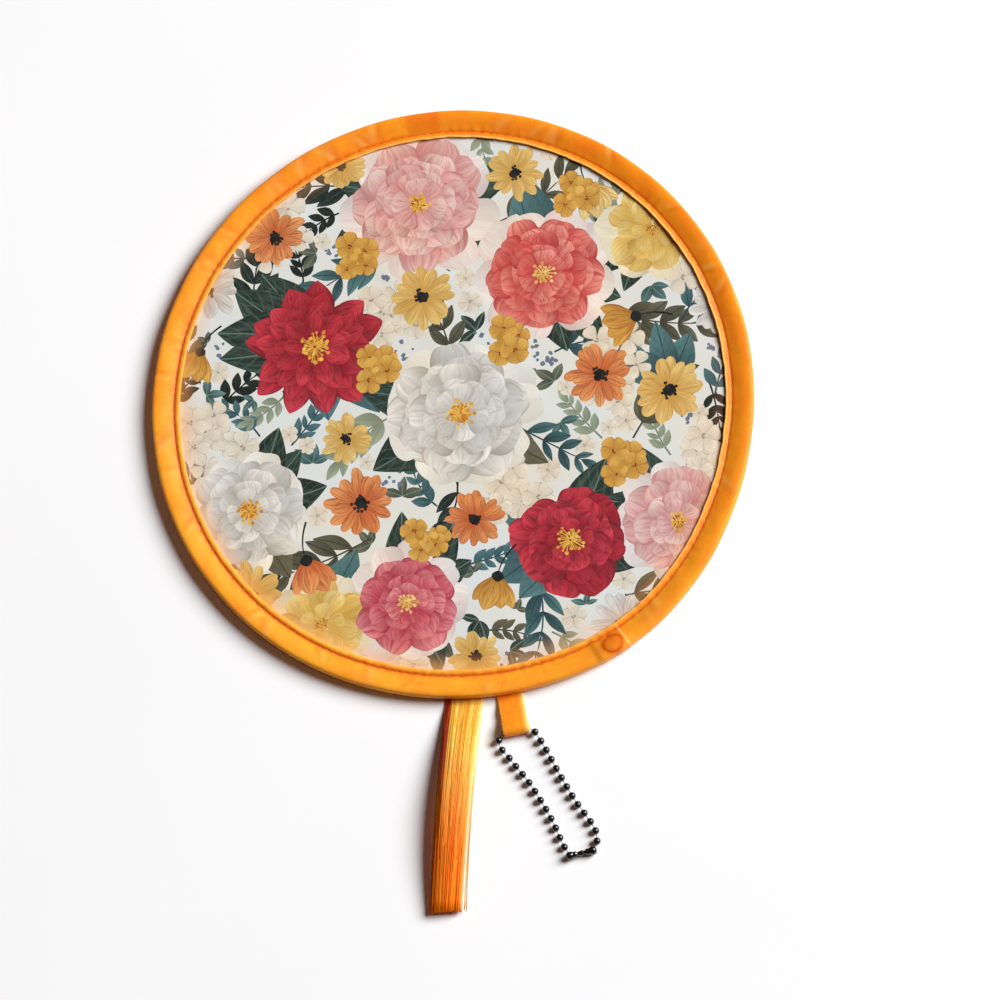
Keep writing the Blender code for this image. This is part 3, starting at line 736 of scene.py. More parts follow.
# Forms of the large flowers: rings of petals from the outside in, each (count, reach, half width)
# as shares, then the cut of the petals and the depth of their notch
ROUND_CUT, POINTED_CUT = (1.9, 0.62), (1.5, 0.75)
HAZE = ([(9, 1.0, 0.3)], ROUND_CUT, 0.05)
BIG = ([(9, 1.0, 0.32), (9, 0.84, 0.3), (8, 0.68, 0.28), (7, 0.52, 0.24), (6, 0.38, 0.2)],
       ROUND_CUT, 0.05)
MEDIUM = ([(8, 1.0, 0.36), (7, 0.78, 0.32), (6, 0.56, 0.27), (5, 0.38, 0.2)], ROUND_CUT, 0.05)
LOOSE = ([(7, 1.0, 0.3), (6, 0.72, 0.26), (5, 0.44, 0.18)], ROUND_CUT, 0.05)
POINTED = ([(11, 1.0, 0.22), (11, 0.86, 0.21), (10, 0.72, 0.19), (9, 0.57, 0.16), (8, 0.43, 0.13)],
           POINTED_CUT, 0.0)
PETAL_FOOT = 0.06


def bloom(x, y, radius, form, inks, accent, ruffle, force, rng):
    """A large flower of one of the forms, its outermost petals first."""
    rings, cut, notch = form
    phase = rng.random() * math.tau
    for ring, (count, reach, half) in enumerate(rings):
        covered = rings[ring + 1][1] / reach if ring + 1 < len(rings) else 0.3
        order = list(range(count))
        rng.shuffle(order)
        phase += math.pi / count + rng.uniform(0.1, 0.5)
        for k in order:
            turn = phase + math.tau * (k + rng.uniform(-0.18, 0.18)) / count
            length = radius * reach * rng.uniform(0.9, 1.08)
            tone = rng.random()
            petal(*off(x, y, turn, PETAL_FOOT * radius), turn, length * (1 - PETAL_FOOT),
                  radius * half * rng.uniform(0.88, 1.12), tones(inks, 0.2 * tone, 0.3 + 0.7 * tone),
                  accent, rng, cut=cut, force=force, ruffle=ruffle, bend=rng.uniform(-0.12, 0.12),
                  side=rng.uniform(-0.32, 0.32), notch=notch, start=covered - 0.22)


def heart(x, y, radius, inks, dark, count, rng):
    """A flower's middle: a dark spot under a ring of stamens with round heads."""
    round_spot(x, y, radius * 0.62, dark, rng, 14, 0.12)
    for k in range(count):
        turn = math.tau * (k + rng.uniform(-0.3, 0.3)) / count
        reach = radius * rng.uniform(0.45, 1.0)
        tip, foot = off(x, y, turn, reach), off(x, y, turn + 0.4, 0.15 * reach)
        middle = ((tip[0] + foot[0]) / 2 + 0.1 * radius * math.sin(turn), (tip[1] + foot[1]) / 2)
        stem([foot, middle, tip], 0.42, mixed(*inks, rng.random()), rng)
        round_spot(*tip, rng.uniform(0.42, 0.7), mixed(*inks, rng.random()), rng, 8)


def daisy(x, y, radius, inks, accent, rng):
    """A flower of two rows of slim petals round a dark, spotted middle."""
    count = 8
    for row_reach, lean in ((1.0, 0.0), (0.93, 0.5)):
        for k in range(count):
            turn = math.tau * (k + lean + rng.uniform(-0.15, 0.15)) / count
            tone = rng.random()
            petal(x, y, turn, radius * row_reach * rng.uniform(0.86, 1.08),
                  radius * rng.uniform(0.15, 0.2), tones(inks, 0.15 * tone, 0.5 + 0.5 * tone), accent,
                  rng, cut=(1.7, 0.6), force=(0.8, 0.55, 0), ruffle=0.05,
                  bend=rng.uniform(-0.15, 0.15), notch=0.03)
    round_spot(x, y, radius * 0.17, INK, rng, 12, 0.25)
    for _ in range(11):
        turn, reach = rng.random() * math.tau, radius * rng.uniform(0.12, 0.25)
        round_spot(*off(x, y, turn, reach), radius * 0.05, INK, rng, 7)


def floret(x, y, radius, inks, line, rng, count=5):
    """A small flower of a few round petals."""
    phase = rng.random() * math.tau
    for k in range(count):
        turn = phase + math.tau * (k + rng.uniform(-0.08, 0.08)) / count
        petal(x, y, turn, radius * rng.uniform(0.9, 1.05), radius * 0.46,
              tones(inks, 0.2, rng.uniform(0.6, 1.0)), line, rng, cut=(1.75, 0.55),
              force=(0.25, 0.8, 0.0), ruffle=0.05, side=0.08, notch=0.06)
    for _ in range(4):
        round_spot(*off(x, y, rng.random() * math.tau, 0.1 * radius), 0.07 * radius, line, rng, 7)


def spray(x, y, turn, length, pairs, leaf, inks, accent, rng, bend, slim):
    """A stem with leaves to both sides and one at its tip."""
    look = dict(cut=(0.95, 0.95), force=(0.25, 0.0, 0.7), side=0.2)
    steps = 8
    points = [off(x, y, turn + bend * (i / steps), length * (i / steps)) for i in range(steps + 1)]
    stem(points, 0.62, inks[0], rng)
    for k in range(pairs):
        t = 0.22 + 0.7 * k / max(1, pairs - 1)
        index = min(steps - 1, int(t * steps))
        foot = mixed(points[index], points[index + 1], t * steps - index)
        for side in (1, -1):
            heading = turn + bend * 2 * t + side * (0.75 + rng.uniform(-0.12, 0.12))
            size = leaf * (1.05 - 0.35 * t) * rng.uniform(0.85, 1.1)
            shade = rng.random()
            petal(*foot, heading, size, size * slim * rng.uniform(0.9, 1.15),
                  tones(inks, 0.3 * shade, 0.3 + 0.6 * shade), accent, rng,
                  bend=-side * rng.uniform(0.0, 0.16), **look)
    petal(*points[-1], turn + bend * 2, leaf * 0.85, leaf * 0.85 * slim, inks, accent, rng, **look)


def leaf_fan(x, y, turn, count, size, inks, accent, rng, spread=1.1):
    """Broad leaves that spread from one point, such as those under a flower."""
    for k in range(count):
        heading = turn + spread * (k / max(1, count - 1) - 0.5) * 2 + rng.uniform(-0.1, 0.1)
        reach = size * rng.uniform(0.85, 1.12)
        petal(x, y, heading, reach, reach * 0.24 * rng.uniform(0.85, 1.15),
              tones(inks, 0, rng.uniform(0.4, 1.0)), accent, rng, cut=(0.9, 0.9),
              force=(0.3, 0.0, 0.8), bend=rng.uniform(-0.2, 0.2), side=0.25)


def bell(x, y, turn, size, inks, rng):
    """A hanging bell of four petals on a bent stem."""
    green = BLACK_GREEN[0]
    c, s = math.cos(turn), math.sin(turn)
    arc = [(x - c * size * 0.8 * t - s * size * 0.3 * t ** 2,
            y - s * size * 0.8 * t + c * size * 0.3 * t ** 2) for t in np.linspace(1, 0, 7)]
    stem(arc, 0.6, green, rng)
    for lean, wide in ((0.42, 0.2), (-0.42, 0.2), (0.18, 0.26), (-0.14, 0.27)):
        petal(x, y, turn + lean, size * rng.uniform(0.92, 1.05), size * wide,
              tones(inks, 0, rng.uniform(0.5, 1.0)), BRICK, rng, cut=(1.35, 0.75),
              force=(0.7, 0.5, 0), bend=lean * 0.35)
    petal(x - c * 0.8, y - s * 0.8, turn, size * 0.3, size * 0.16, (green, green), green, rng,
          cut=(1.0, 0.7), force=(0, 0, 0))


def golden_tuft(x, y, radius, inks, rng, count):
    for _ in range(count):
        turn, reach = rng.random() * math.tau, radius * math.sqrt(rng.random())
        round_spot(*off(x, y, turn, reach), rng.uniform(0.8, 1.5), mixed(*inks, rng.random()), rng, 9, 0.2)


CRIMSON = (tint(150, 8, 32), tint(222, 62, 80))
ROSE = (tint(188, 56, 78), tint(236, 150, 154))
CORAL = (tint(200, 58, 58), tint(240, 158, 144))
BLUSH = (tint(214, 150, 148), tint(242, 218, 208))
WHITE = (tint(192, 193, 190), tint(242, 240, 236))
CREAM = (tint(216, 206, 188), tint(240, 232, 216))
BUTTER = (tint(214, 174, 78), tint(244, 222, 152))
YELLOW = (tint(206, 156, 72), tint(240, 212, 136))
ORANGE = (tint(200, 94, 42), tint(244, 170, 104))
MUSTARD = (tint(184, 130, 38), tint(228, 182, 86))
GOLD = (tint(196, 126, 22), tint(244, 200, 92))
BLACK_GREEN = (tint(3, 17, 14), tint(14, 42, 34))
TEAL = (tint(26, 66, 76), tint(92, 136, 140))
SAGE = (tint(118, 132, 110), tint(168, 178, 154))
OLIVE = (tint(62, 62, 46), tint(112, 110, 86))
INK = tint(10, 11, 11)
PALE_VEIN = tint(108, 136, 122)
DARK_VEIN = tint(20, 48, 52)
OLIVE_VEIN = tint(40, 42, 32)
OLIVE_LINE = tint(138, 130, 104)
PETAL_LINE = tint(164, 150, 136)
WINE = tint(104, 0, 18)
BRICK = tint(146, 52, 12)
ROSE_LINE = tint(182, 84, 92)
SPRINKLE = tint(104, 118, 138)
GREENS = [BLACK_GREEN, TEAL, OLIVE, SAGE]
VEINS = [PALE_VEIN, DARK_VEIN, OLIVE_VEIN, OLIVE_LINE]
FINE_VEINS = [tint(44, 72, 64), DARK_VEIN, OLIVE_VEIN, OLIVE_LINE]


def draw_greenery(rng):
    """Sprays and broad leaves behind the flowers."""
    # Each spray: x, y, heading in degrees, length, pairs of leaves, leaf's length, green
    for x, y, turn, length, pairs, leaf, green in (
            (-40, -2, 130, 34, 4, 13, 0), (-66, 30, 100, 26, 4, 12, 0), (-20, 52, 200, 28, 4, 12, 1),
            (12, 60, 20, 30, 4, 12, 2), (46, 54, 75, 26, 4, 12, 3), (50, 30, -20, 34, 5, 13, 2),
            (60, -14, 60, 28, 4, 12, 2), (40, -40, -10, 34, 5, 13, 0), (28, -58, -70, 28, 4, 12, 1),
            (-2, -52, -110, 30, 4, 13, 2), (-26, -46, -150, 32, 5, 13, 2), (-64, -40, 170, 28, 4, 12, 1),
            (-56, -58, -120, 26, 4, 12, 0), (0, 14, 100, 24, 4, 11, 2), (20, -8, -30, 26, 4, 10, 1),
            (-18, -4, -160, 24, 4, 10, 3), (2, -26, -80, 22, 4, 10, 0), (34, 16, 30, 22, 4, 10, 1),
            (-84, 8, 120, 22, 4, 10, 2), (76, 26, 60, 22, 4, 10, 1), (70, -46, -60, 24, 4, 11, 3),
            (-30, 74, 170, 26, 4, 12, 0), (2, 84, 200, 22, 4, 11, 2), (54, -66, 20, 24, 4, 11, 2)):
        spray(x, y, math.radians(turn), length, pairs, leaf, GREENS[green], FINE_VEINS[green], rng,
              bend=rng.uniform(-0.5, 0.5), slim=rng.uniform(0.17, 0.23))
    # Each group of broad leaves: x, y, heading in degrees, count, size, green
    for x, y, turn, count, size, green in (
            (-46, 22, 160, 4, 33, 0), (-44, 24, 300, 3, 32, 1), (30, 42, 320, 3, 31, 0),
            (30, 46, 120, 3, 29, 1), (40, -46, 200, 3, 29, 1), (38, -48, 20, 3, 31, 0),
            (-12, -66, 250, 4, 28, 0), (-14, -66, 60, 3, 28, 0), (-66, -34, 40, 3, 27, 0),
            (-66, -36, 260, 3, 27, 2), (2, -6, 340, 3, 32, 2), (2, -4, 190, 2, 31, 0),
            (-10, 70, 330, 3, 31, 0), (-12, 68, 200, 3, 31, 0), (72, 4, 100, 3, 21, 1),
            (74, -42, 150, 3, 26, 0), (66, 56, 200, 3, 24, 0), (-42, -74, 30, 3, 24, 1)):
        leaf_fan(x, y, math.radians(turn), count, size, GREENS[green], VEINS[green], rng, spread=0.6)


def draw_bunches(rng):
    """Pale florets in bunches."""
    for x, y, reach, count in ((52, 10, 13, 9), (-78, -10, 12, 8), (-20, -86, 10, 6), (20, -30, 11, 7),
                               (-20, 30, 10, 7), (84, 44, 10, 6), (84, -20, 8, 5), (-60, 62, 12, 8)):
        for k in range(count):
            turn, far = k * 2.4 + rng.random(), reach * math.sqrt(k / count)
            floret(*off(x, y, turn, far), rng.uniform(5.0, 6.6), CREAM, PETAL_LINE, rng, rng.choice((4, 5)))


def draw_blooms(rng):
    """The large flowers, over the soft outer petals of the pale and pink ones."""
    faint, soft, crisp, full = (0.5, 0.4, 0), (0.6, 0.45, 0), (0.45, 0.6, 0), (0.75, 0.7, 0)
    for x, y, radius, inks in ((-12, 68, 27, BLUSH), (74, -42, 21, BLUSH), (30, 43, 25, BLUSH),
                               (-14, -68, 22, BLUSH), (3, -4, 27, CREAM), (-67, -36, 22, CREAM),
                               (66, 57, 19, BUTTER), (-42, -75, 19, BUTTER)):
        bloom(x, y, radius, HAZE, tones((inks[1], GROUND), 0.35, 0.75), mixed(inks[0], GROUND, 0.4),
              0.14, faint, rng)
    amber, honey, umber = tint(186, 110, 20), tint(196, 110, 30), tint(120, 60, 20)
    # Each flower: x, y, radius, form, inks, petal lines, ruffle and force, then what heart takes
    for x, y, radius, form, inks, line, ruffle, force, *middle in (
            (66, 57, 16, LOOSE, BUTTER, MUSTARD[0], 0.12, faint, 3.0, MUSTARD, BRICK, 14),
            (-42, -75, 16, LOOSE, BUTTER, MUSTARD[0], 0.12, faint, 3.0, MUSTARD, BRICK, 14),
            (-12, 68, 23, BIG, BLUSH, ROSE_LINE, 0.12, soft, 4.2, GOLD, BRICK, 18),
            (74, -42, 18, MEDIUM, BLUSH, ROSE_LINE, 0.12, soft, 3.4, GOLD, BRICK, 14),
            (3, -4, 24, BIG, WHITE, PETAL_LINE, 0.12, crisp, 5.4, GOLD, amber, 26),
            (-67, -36, 19, MEDIUM, WHITE, PETAL_LINE, 0.12, crisp, 4.4, GOLD, amber, 20),
            (30, 43, 20.5, BIG, CORAL, tint(176, 40, 48), 0.12, full, 4.0, YELLOW, honey, 16),
            (-14, -68, 17.5, MEDIUM, ROSE, tint(160, 34, 62), 0.12, full, 3.6, YELLOW, honey, 16),
            (-46, 20, 23, POINTED, CRIMSON, WINE, 0.06, full, 5.6, GOLD, umber, 30),
            (39, -47, 19.5, MEDIUM, CRIMSON, WINE, 0.1, full, 4.8, GOLD, umber, 24)):
        bloom(x, y, radius, form, inks, line, ruffle, force, rng)
        heart(x, y, *middle, rng)


def draw_small_flowers(rng):
    """Daisies, bells, and clusters of small golden flowers."""
    for x, y, radius, inks, accent in (
            (-10, 36, 11.5, YELLOW, MUSTARD[0]), (72, 2, 12, YELLOW, MUSTARD[0]),
            (-30, -34, 12, ORANGE, BRICK), (9, -86, 9, YELLOW, MUSTARD[0]),
            (-82, 40, 11, WHITE, PETAL_LINE), (87, 30, 9, WHITE, PETAL_LINE),
            (-66, -64, 11, YELLOW, MUSTARD[0]), (-38, 82, 9, YELLOW, MUSTARD[0]),
            (-60, 58, 11, ORANGE, BRICK), (8, -40, 10, ORANGE, BRICK), (49, 8, 11.5, ORANGE, BRICK),
            (-35, -12, 9, YELLOW, MUSTARD[0]), (56, -74, 11, WHITE, PETAL_LINE),
            (20, 78, 10, YELLOW, MUSTARD[0])):
        daisy(x, y, radius, inks, accent, rng)
    for x, y, turn, size, inks in ((-48, -52, -70, 14, ORANGE), (62, 28, 200, 13, MUSTARD),
                                   (44, 74, -60, 13, BUTTER), (16, -58, -100, 13, MUSTARD),
                                   (-84, 20, -110, 12, MUSTARD)):
        bell(x, y, math.radians(turn), size, inks, rng)
    for x, y in ((-26, 12), (40, 70), (56, -22), (-33, 50), (18, 20), (-8, -46)):
        for k in range(4):
            turn = k * 1.7 + rng.random()
            floret(*off(x, y, turn, 4.4), rng.uniform(4.2, 5.4), MUSTARD, BRICK, rng)
        golden_tuft(x, y, 3.2, MUSTARD, rng, 9)


def draw_print():
    """Lays out the print of the cloth, in mm from the disc's centre, from the ground up."""
    rng = random.Random(2024)
    for draw in (draw_greenery, draw_bunches, draw_blooms, draw_small_flowers, fill_gaps):
        draw(rng)


def covered_by(outline, points):
    """Which of the points lie inside a closed outline."""
    x, y = points[:, 0], points[:, 1]
    hit = np.zeros(len(points), bool)
    for (ax, ay), (bx, by) in zip(outline, np.roll(outline, -1, 0)):
        if ay != by:
            hit ^= ((ay > y) != (by > y)) & (x < (bx - ax) * (y - ay) / (by - ay) + ax)
    return hit


def boxed(points, outline):
    """Which of the points lie in the upright box round an outline."""
    return ((points >= outline.min(0)) & (points <= outline.max(0))).all(1)


def cover(points, taken, first):
    """Marks the points that the shapes from the first one on cover."""
    for item in SHAPES[first:]:
        near = np.nonzero(boxed(points, item["outline"]) & ~taken)[0]
        if len(near):
            taken[near] |= covered_by(item["outline"], points[near])
    return taken


def fill_gaps(rng):
    """Puts small sprays, florets and sprinkles in the widest bare places, under the flowers."""
    drawn = len(SHAPES)
    reach, step = 92.0, 2.0
    steps = np.arange(-reach, reach + 1, step)
    lattice = np.stack(np.meshgrid(steps, steps), -1).reshape(-1, 2)
    lattice = lattice[np.hypot(*lattice.T) < reach]
    taken = cover(lattice, np.zeros(len(lattice), bool), 0)
    for k in range(64):
        bare = lattice[~taken]
        trial = bare[[rng.randrange(len(bare)) for _ in range(90)]]
        room = np.sqrt(((trial[:, None] - lattice[taken][None]) ** 2).sum(-1)).min(1)
        x, y = trial[room.argmax()]
        size = float(room.max())
        first = len(SHAPES)
        turn = rng.random() * math.tau
        if size > 5.5:
            green = GREENS[rng.choice((0, 1, 2, 3, 3))]
            length = 2.6 * size
            spray(*off(x, y, turn, -0.5 * length), turn, length, 4, 1.1 * size, green,
                  mixed(*green, 0.5), rng, bend=rng.uniform(-0.4, 0.4), slim=0.22)
        elif k % 3 == 0:
            floret(x, y, max(3.2, size), CREAM, PETAL_LINE, rng)
        elif k % 3 == 1:
            leaf_fan(x, y, turn, 3, max(4.5, 1.6 * size), GREENS[rng.choice((0, 1, 2))], PALE_VEIN, rng)
        else:
            for _ in range(6):
                far, lean = size * rng.random(), rng.random() * math.tau
                round_spot(*off(x, y, lean, far), rng.uniform(0.5, 0.9), SPRINKLE, rng, 7, 0.25)
        cover(lattice, taken, first)
    SHAPES[:] = SHAPES[drawn:] + SHAPES[:drawn]


def printed_mesh():
    """Cuts the disc along every edge of the print that shows, and into small faces."""
    radius, rim_steps, step = CLOTH_RADIUS / MM, 360, 1.7
    outlines = [item["outline"] for item in SHAPES]
    ends = np.concatenate(outlines)
    nexts = np.concatenate([np.roll(outline, -1, 0) for outline in outlines])
    owner = np.concatenate([np.full(len(outline), k) for k, outline in enumerate(outlines)])
    middles = (ends + nexts) / 2
    hidden = np.hypot(*middles.T) > radius
    for k, outline in enumerate(outlines):
        near = np.nonzero(boxed(middles, outline) & (owner < k) & ~hidden)[0]
        if len(near):
            hidden[near[covered_by(outline, middles[near])]] = True
    points = [off(0, 0, math.tau * i / rim_steps, radius) for i in range(rim_steps)]
    edges = [(i, (i + 1) % rim_steps) for i in range(rim_steps)]
    for start, end in zip(ends[~hidden], nexts[~hidden]):
        edges.append((len(points), len(points) + 1))
        points += [tuple(start), tuple(end)]
    rng = random.Random(8)
    reach = int(radius / step)
    for i in range(-reach, reach + 1):
        for j in range(-reach, reach + 1):
            x = (i + 0.5 * (j % 2)) * step + rng.uniform(-0.2, 0.2)
            y = j * step + rng.uniform(-0.2, 0.2)
            if math.hypot(x, y) < radius - 0.8:
                points.append((x, y))
    cut = delaunay_2d_cdt([Vector(p) for p in points], edges, [], 0, 0.02, False)
    verts = np.array([tuple(p) for p in cut[0]])
    faces = np.array([tuple(face) for face in cut[2]])
    centres = verts[faces].mean(1)
    keep = np.hypot(*centres.T) < radius
    faces, centres = faces[keep], centres[keep]
    owner = np.full(len(faces), -1)
    for k in range(len(outlines) - 1, -1, -1):
        near = np.nonzero((owner < 0) & boxed(centres, outlines[k]))[0]
        if len(near):
            owner[near[covered_by(outlines[k], centres[near])]] = k
    return verts, faces, owner


def cloth_height(x, y):
    """The cloth's waves in mm: puckers at the seam, a few long creases and a slow sway."""
    rng = random.Random(31)
    radius, angle = np.hypot(x, y), np.arctan2(y, x)
    edge = np.exp(-(CLOTH_EDGE - radius) / 7.0)
    height = ripple(waves(rng, 10, 30, 120), angle, 0.0) * 0.10 * edge
    height += ripple(waves(rng, 6, 8, 26), angle, 0.0) * 0.16 * np.exp(-(CLOTH_EDGE - radius) / 22.0)
    for _ in range(16):
        cx, cy = rng.uniform(-70, 70), rng.uniform(-70, 70)
        turn = rng.uniform(-1.2, -0.4) if rng.random() < 0.6 else rng.uniform(0.3, 1.3)
        long, wide, deep = rng.uniform(14, 34), rng.uniform(1.4, 3.2), rng.uniform(-0.16, 0.2)
        along = (x - cx) * math.cos(turn) + (y - cy) * math.sin(turn)
        across = (y - cy) * math.cos(turn) - (x - cx) * math.sin(turn) + 0.006 * along ** 2
        height += deep * np.exp(-(across / wide) ** 2 - (along / long) ** 2)
    height += 0.12 * np.sin(x / 17 + 1.0) * np.sin(y / 21 + 0.4)
    return height * (1 - smooth(89.5, 91.5, radius))


def print_layers(corners, owner):
    """Inks, places in the motif, cuts and forces of the print, at every corner of the faces."""
    count = len(corners)
    ink, accent = np.ones((count, 3, 4)), np.ones((count, 3, 4))
    motif, cut, force = np.zeros((count, 3, 3)), np.ones((count, 3, 3)), np.zeros((count, 3, 3))
    ink[..., :3] = accent[..., :3] = GROUND
    order = np.argsort(owner, kind="stable")
    starts = np.searchsorted(owner[order], np.arange(len(SHAPES) + 1))
    for k, item in enumerate(SHAPES):
        rows = order[starts[k]:starts[k + 1]]
        if not len(rows):
            continue
        away = corners[rows] - np.array(item["origin"])
        c, s = item["direction"]
        u = np.clip((away[..., 0] * c + away[..., 1] * s) / item["length"], 0, 1)
        v = (away[..., 1] * c - away[..., 0] * s - item["bend"] * u ** 2 * item["length"]) / item["half"]
        v = np.clip(v, -1.2, 1.2)
        share = smooth(item["start"], 0.97, u)[..., None]
        colour = np.array(item["inks"][0]) * (1 - share) + np.array(item["inks"][1]) * share
        ink[rows, :, :3] = np.clip(colour * (1 + item["side"] * v)[..., None], 0, 1)
        accent[rows, :, :3] = item["accent"]
        motif[rows] = np.stack([u, v, 0 * u + item["seed"]], -1)
        cut[rows] = (*item["cut"], item["half"])
        force[rows] = item["force"]
    # A painted warm glow on the cloth's inks beside the tape, on the side with the tape's painted golden
    # glow, as if the tape threw its glow on the cloth
    x, y = corners[..., 0], corners[..., 1]
    warm = smooth(84.0, CLOTH_EDGE, np.hypot(x, y)) * (0.45 * painted_glow_side(np.arctan2(y, x)))
    for layer in (ink, accent):
        layer[..., :3] += (np.array(tint(255, 176, 92)) - layer[..., :3]) * warm[..., None]
    return dict(ink=ink, accent=accent, motif=motif, cut=cut, force=force)


def make_cloth():
    draw_print()
    verts, faces, owner = printed_mesh()
    x, y = verts[:, 0], verts[:, 1]
    # The cloth is drawn out with the rim where the hoop comes to its soft point
    rise = rim_radius(np.arctan2(y, x)) - FAN_RADIUS
    drawn_out = 1 + rise * np.hypot(x, y) * MM / CLOTH_RADIUS ** 2
    flat = np.stack([x * drawn_out, y * drawn_out, cloth_height(x, y)], 1) * MM
    flat[:, 2] += MID_HEIGHT + CLOTH_THICKNESS / 2
    fabric = hold("printed_cloth_disc", flat + np.array(DISC), [tuple(f) for f in faces.tolist()],
                  [print_finish("cloth_print", 0.0), print_finish("cloth_print_back", 0.55)],
                  "fan")
    for name, values in print_layers(verts[faces], owner).items():
        corner_layer(fabric, name, values)
    thick = fabric.modifiers.new("thickness", "SOLIDIFY")
    thick.thickness = CLOTH_THICKNESS
    thick.offset = -1
    thick.material_offset = 1
    thick.use_even_offset = False
    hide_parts("printed_cloth")


# Tab and tassel


def sewn_course(reach):
    """Height of the middle of what is sewn under the rim, at a reach past the rim."""
    lip_height = MID_HEIGHT - 0.95 * MM - SEWN_THICKNESS / 2
    return lip_height + (HINGE_HEIGHT - lip_height) * smooth(-7.1 * MM, -3.7 * MM, reach)


def ribbon_course(tunnel_height):
    """The ribbon's line from one sewn end, round the tunnel, to the other, and its fold's reach."""
    half_gap = (SEWN_THICKNESS - RIBBON_THICKNESS) / 2 - LAYER_PLAY
    bend_radius = (TUNNEL_RADIUS + FOLD_RADIUS) / 2 + TUNNEL_SLACK
    fold = TAB_REACH - FOLD_RADIUS
    outward = np.linspace(-TAB_SEWN_REACH, fold - TUNNEL_RAMP, 44)
    # Both layers stand up from the surface soon after the rim
    ease = TAB_STAND * smooth(1.0 * MM, 6.0 * MM, outward)

    def layer(side, goal):
        """The upper or the lower layer, from its sewn end to its height at the fold."""
        points = [(reach, sewn_course(reach) + raised + side * half_gap)
                  for reach, raised in zip(outward, ease)]
        start = HINGE_HEIGHT + float(ease[-1]) + side * half_gap
        for share in np.linspace(0, 1, 14)[1:]:
            points.append((outward[-1] + (fold - outward[-1]) * share,
                           start + (goal - start) * float(smooth(0, 1, share))))
        return points

    turns = np.linspace(math.pi / 2, -math.pi / 2, 16)[1:-1]
    bend = [off(fold, tunnel_height, turn, bend_radius) for turn in turns]
    lowest = max(tunnel_height - bend_radius, RIBBON_THICKNESS / 2)
    course = layer(1, tunnel_height + bend_radius) + bend + layer(-1, lowest)[::-1]
    return np.array(course), fold


def make_tab(mat, tunnel_height):
    """One ribbon folded round the tunnel; both its ends are sewn under the rim."""
    place = radial_frame(TAB_AZIMUTH, 0, 0)
    course, fold = ribbon_course(tunnel_height)
    steps = 23
    columns = np.concatenate([np.linspace(-1, 1, steps), np.linspace(1, -1, steps)])
    faces_up = np.concatenate([np.ones(steps), -np.ones(steps)])
    rng = random.Random(3)
    wander = [(rng.uniform(300, 900), rng.uniform(0, 6), rng.uniform(-2, 2)) for _ in range(5)]
    run = lengths_along(course)
    rings = []
    for (reach, height), normal, far in zip(course, leftwards(course), run):
        free = float(smooth(0.5 * MM, 5 * MM, reach))
        still = 1 - float(smooth(fold - 5 * MM, fold - 1.8 * MM, reach))
        ring = []
        for column, face in zip(columns, faces_up):
            edge = 1 - 0.75 * max(0.0, abs(column) - 0.93) / 0.07
            sway = sum(math.sin(pace * far + phase + lean * column) for pace, phase, lean in wander)
            lift = 0.05 * MM * sway * free * still * (1 if height > HINGE_HEIGHT else 0.3)
            crown = 0.10 * MM * free * (1 - column ** 2) * (1 if height > tunnel_height else 0)
            offset = face * RIBBON_THICKNESS / 2 * edge + lift + crown
            wide = TAB_WIDTH / 2 * (1 + 0.012 * math.sin(900 * far + 1.0) * free)
            ring.append(place @ Vector((column * wide, reach + normal[0] * offset,
                                        height + normal[1] * offset)))
        rings.append(ring)
    faces, corners = skin(rings)
    tab = hold("ribbon_tab_satin", [p for ring in rings for p in ring], faces, mat, None)
    far, column = run[corners[:, 0]], np.append(columns, columns[0])[corners[:, 1]]
    corner_layer(tab, "tape", np.stack([far, column * TAB_WIDTH / 2, 0 * far], 1))
    # Painted highlights on the edges, the right one broader, a painted golden glow that grows towards the
    # right edge, and a painted shadow line along the fold
    right_edge, left_edge = smooth(-0.55, -0.98, column), smooth(0.88, 0.98, column)
    fold_shadow_line = hump(far - run[-1] / 2, 1.2 * MM, 0.9 * MM)
    pale = np.maximum(0.8 * right_edge, 0.55 * left_edge)
    corner_layer(tab, "painted_light_zone", np.stack([0.7 * fold_shadow_line, 0.1 + 0.5 * right_edge, pale], 1))
    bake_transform(tab)
    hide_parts("ribbon_tab", "tab_sewn_end")


def strand_colours(across, along):
    """Shade and glow colours along a strand, by its place across the tassel, each with its alpha.

    Both carry painted light: gold at the top where the strands arch into the light and deep orange lower
    down, painted shade in deep red-brown on the side away from the light, and a painted pale highlight as a
    fringe on the other side."""
    # Painted light: lighter at the top, deeper orange towards the tip
    downwards = smooth(0.1, 0.72, along)[:, None]
    # Painted shade on the side away from the light
    side = float(smooth(0.6, 0.74, across)) * (1 - smooth(0.25, 0.7, along)[:, None])
    # Painted pale highlight along the other side
    fringe = float(smooth(-0.8, -0.93, across)) * 0.75
    colours = []
    for top, low in ((tint(255, 164, 22), tint(255, 110, 1)), (tint(255, 220, 92), tint(255, 142, 10))):
        colour = np.array(top) + (np.array(low) - np.array(top)) * downwards
        colour = colour + (np.array(tint(168, 44, 6)) - colour) * side
        colour = colour + (np.array(tint(255, 232, 158)) - colour) * fringe
        colours.append(np.concatenate([colour, np.ones((len(colour), 1))], 1))
    return colours


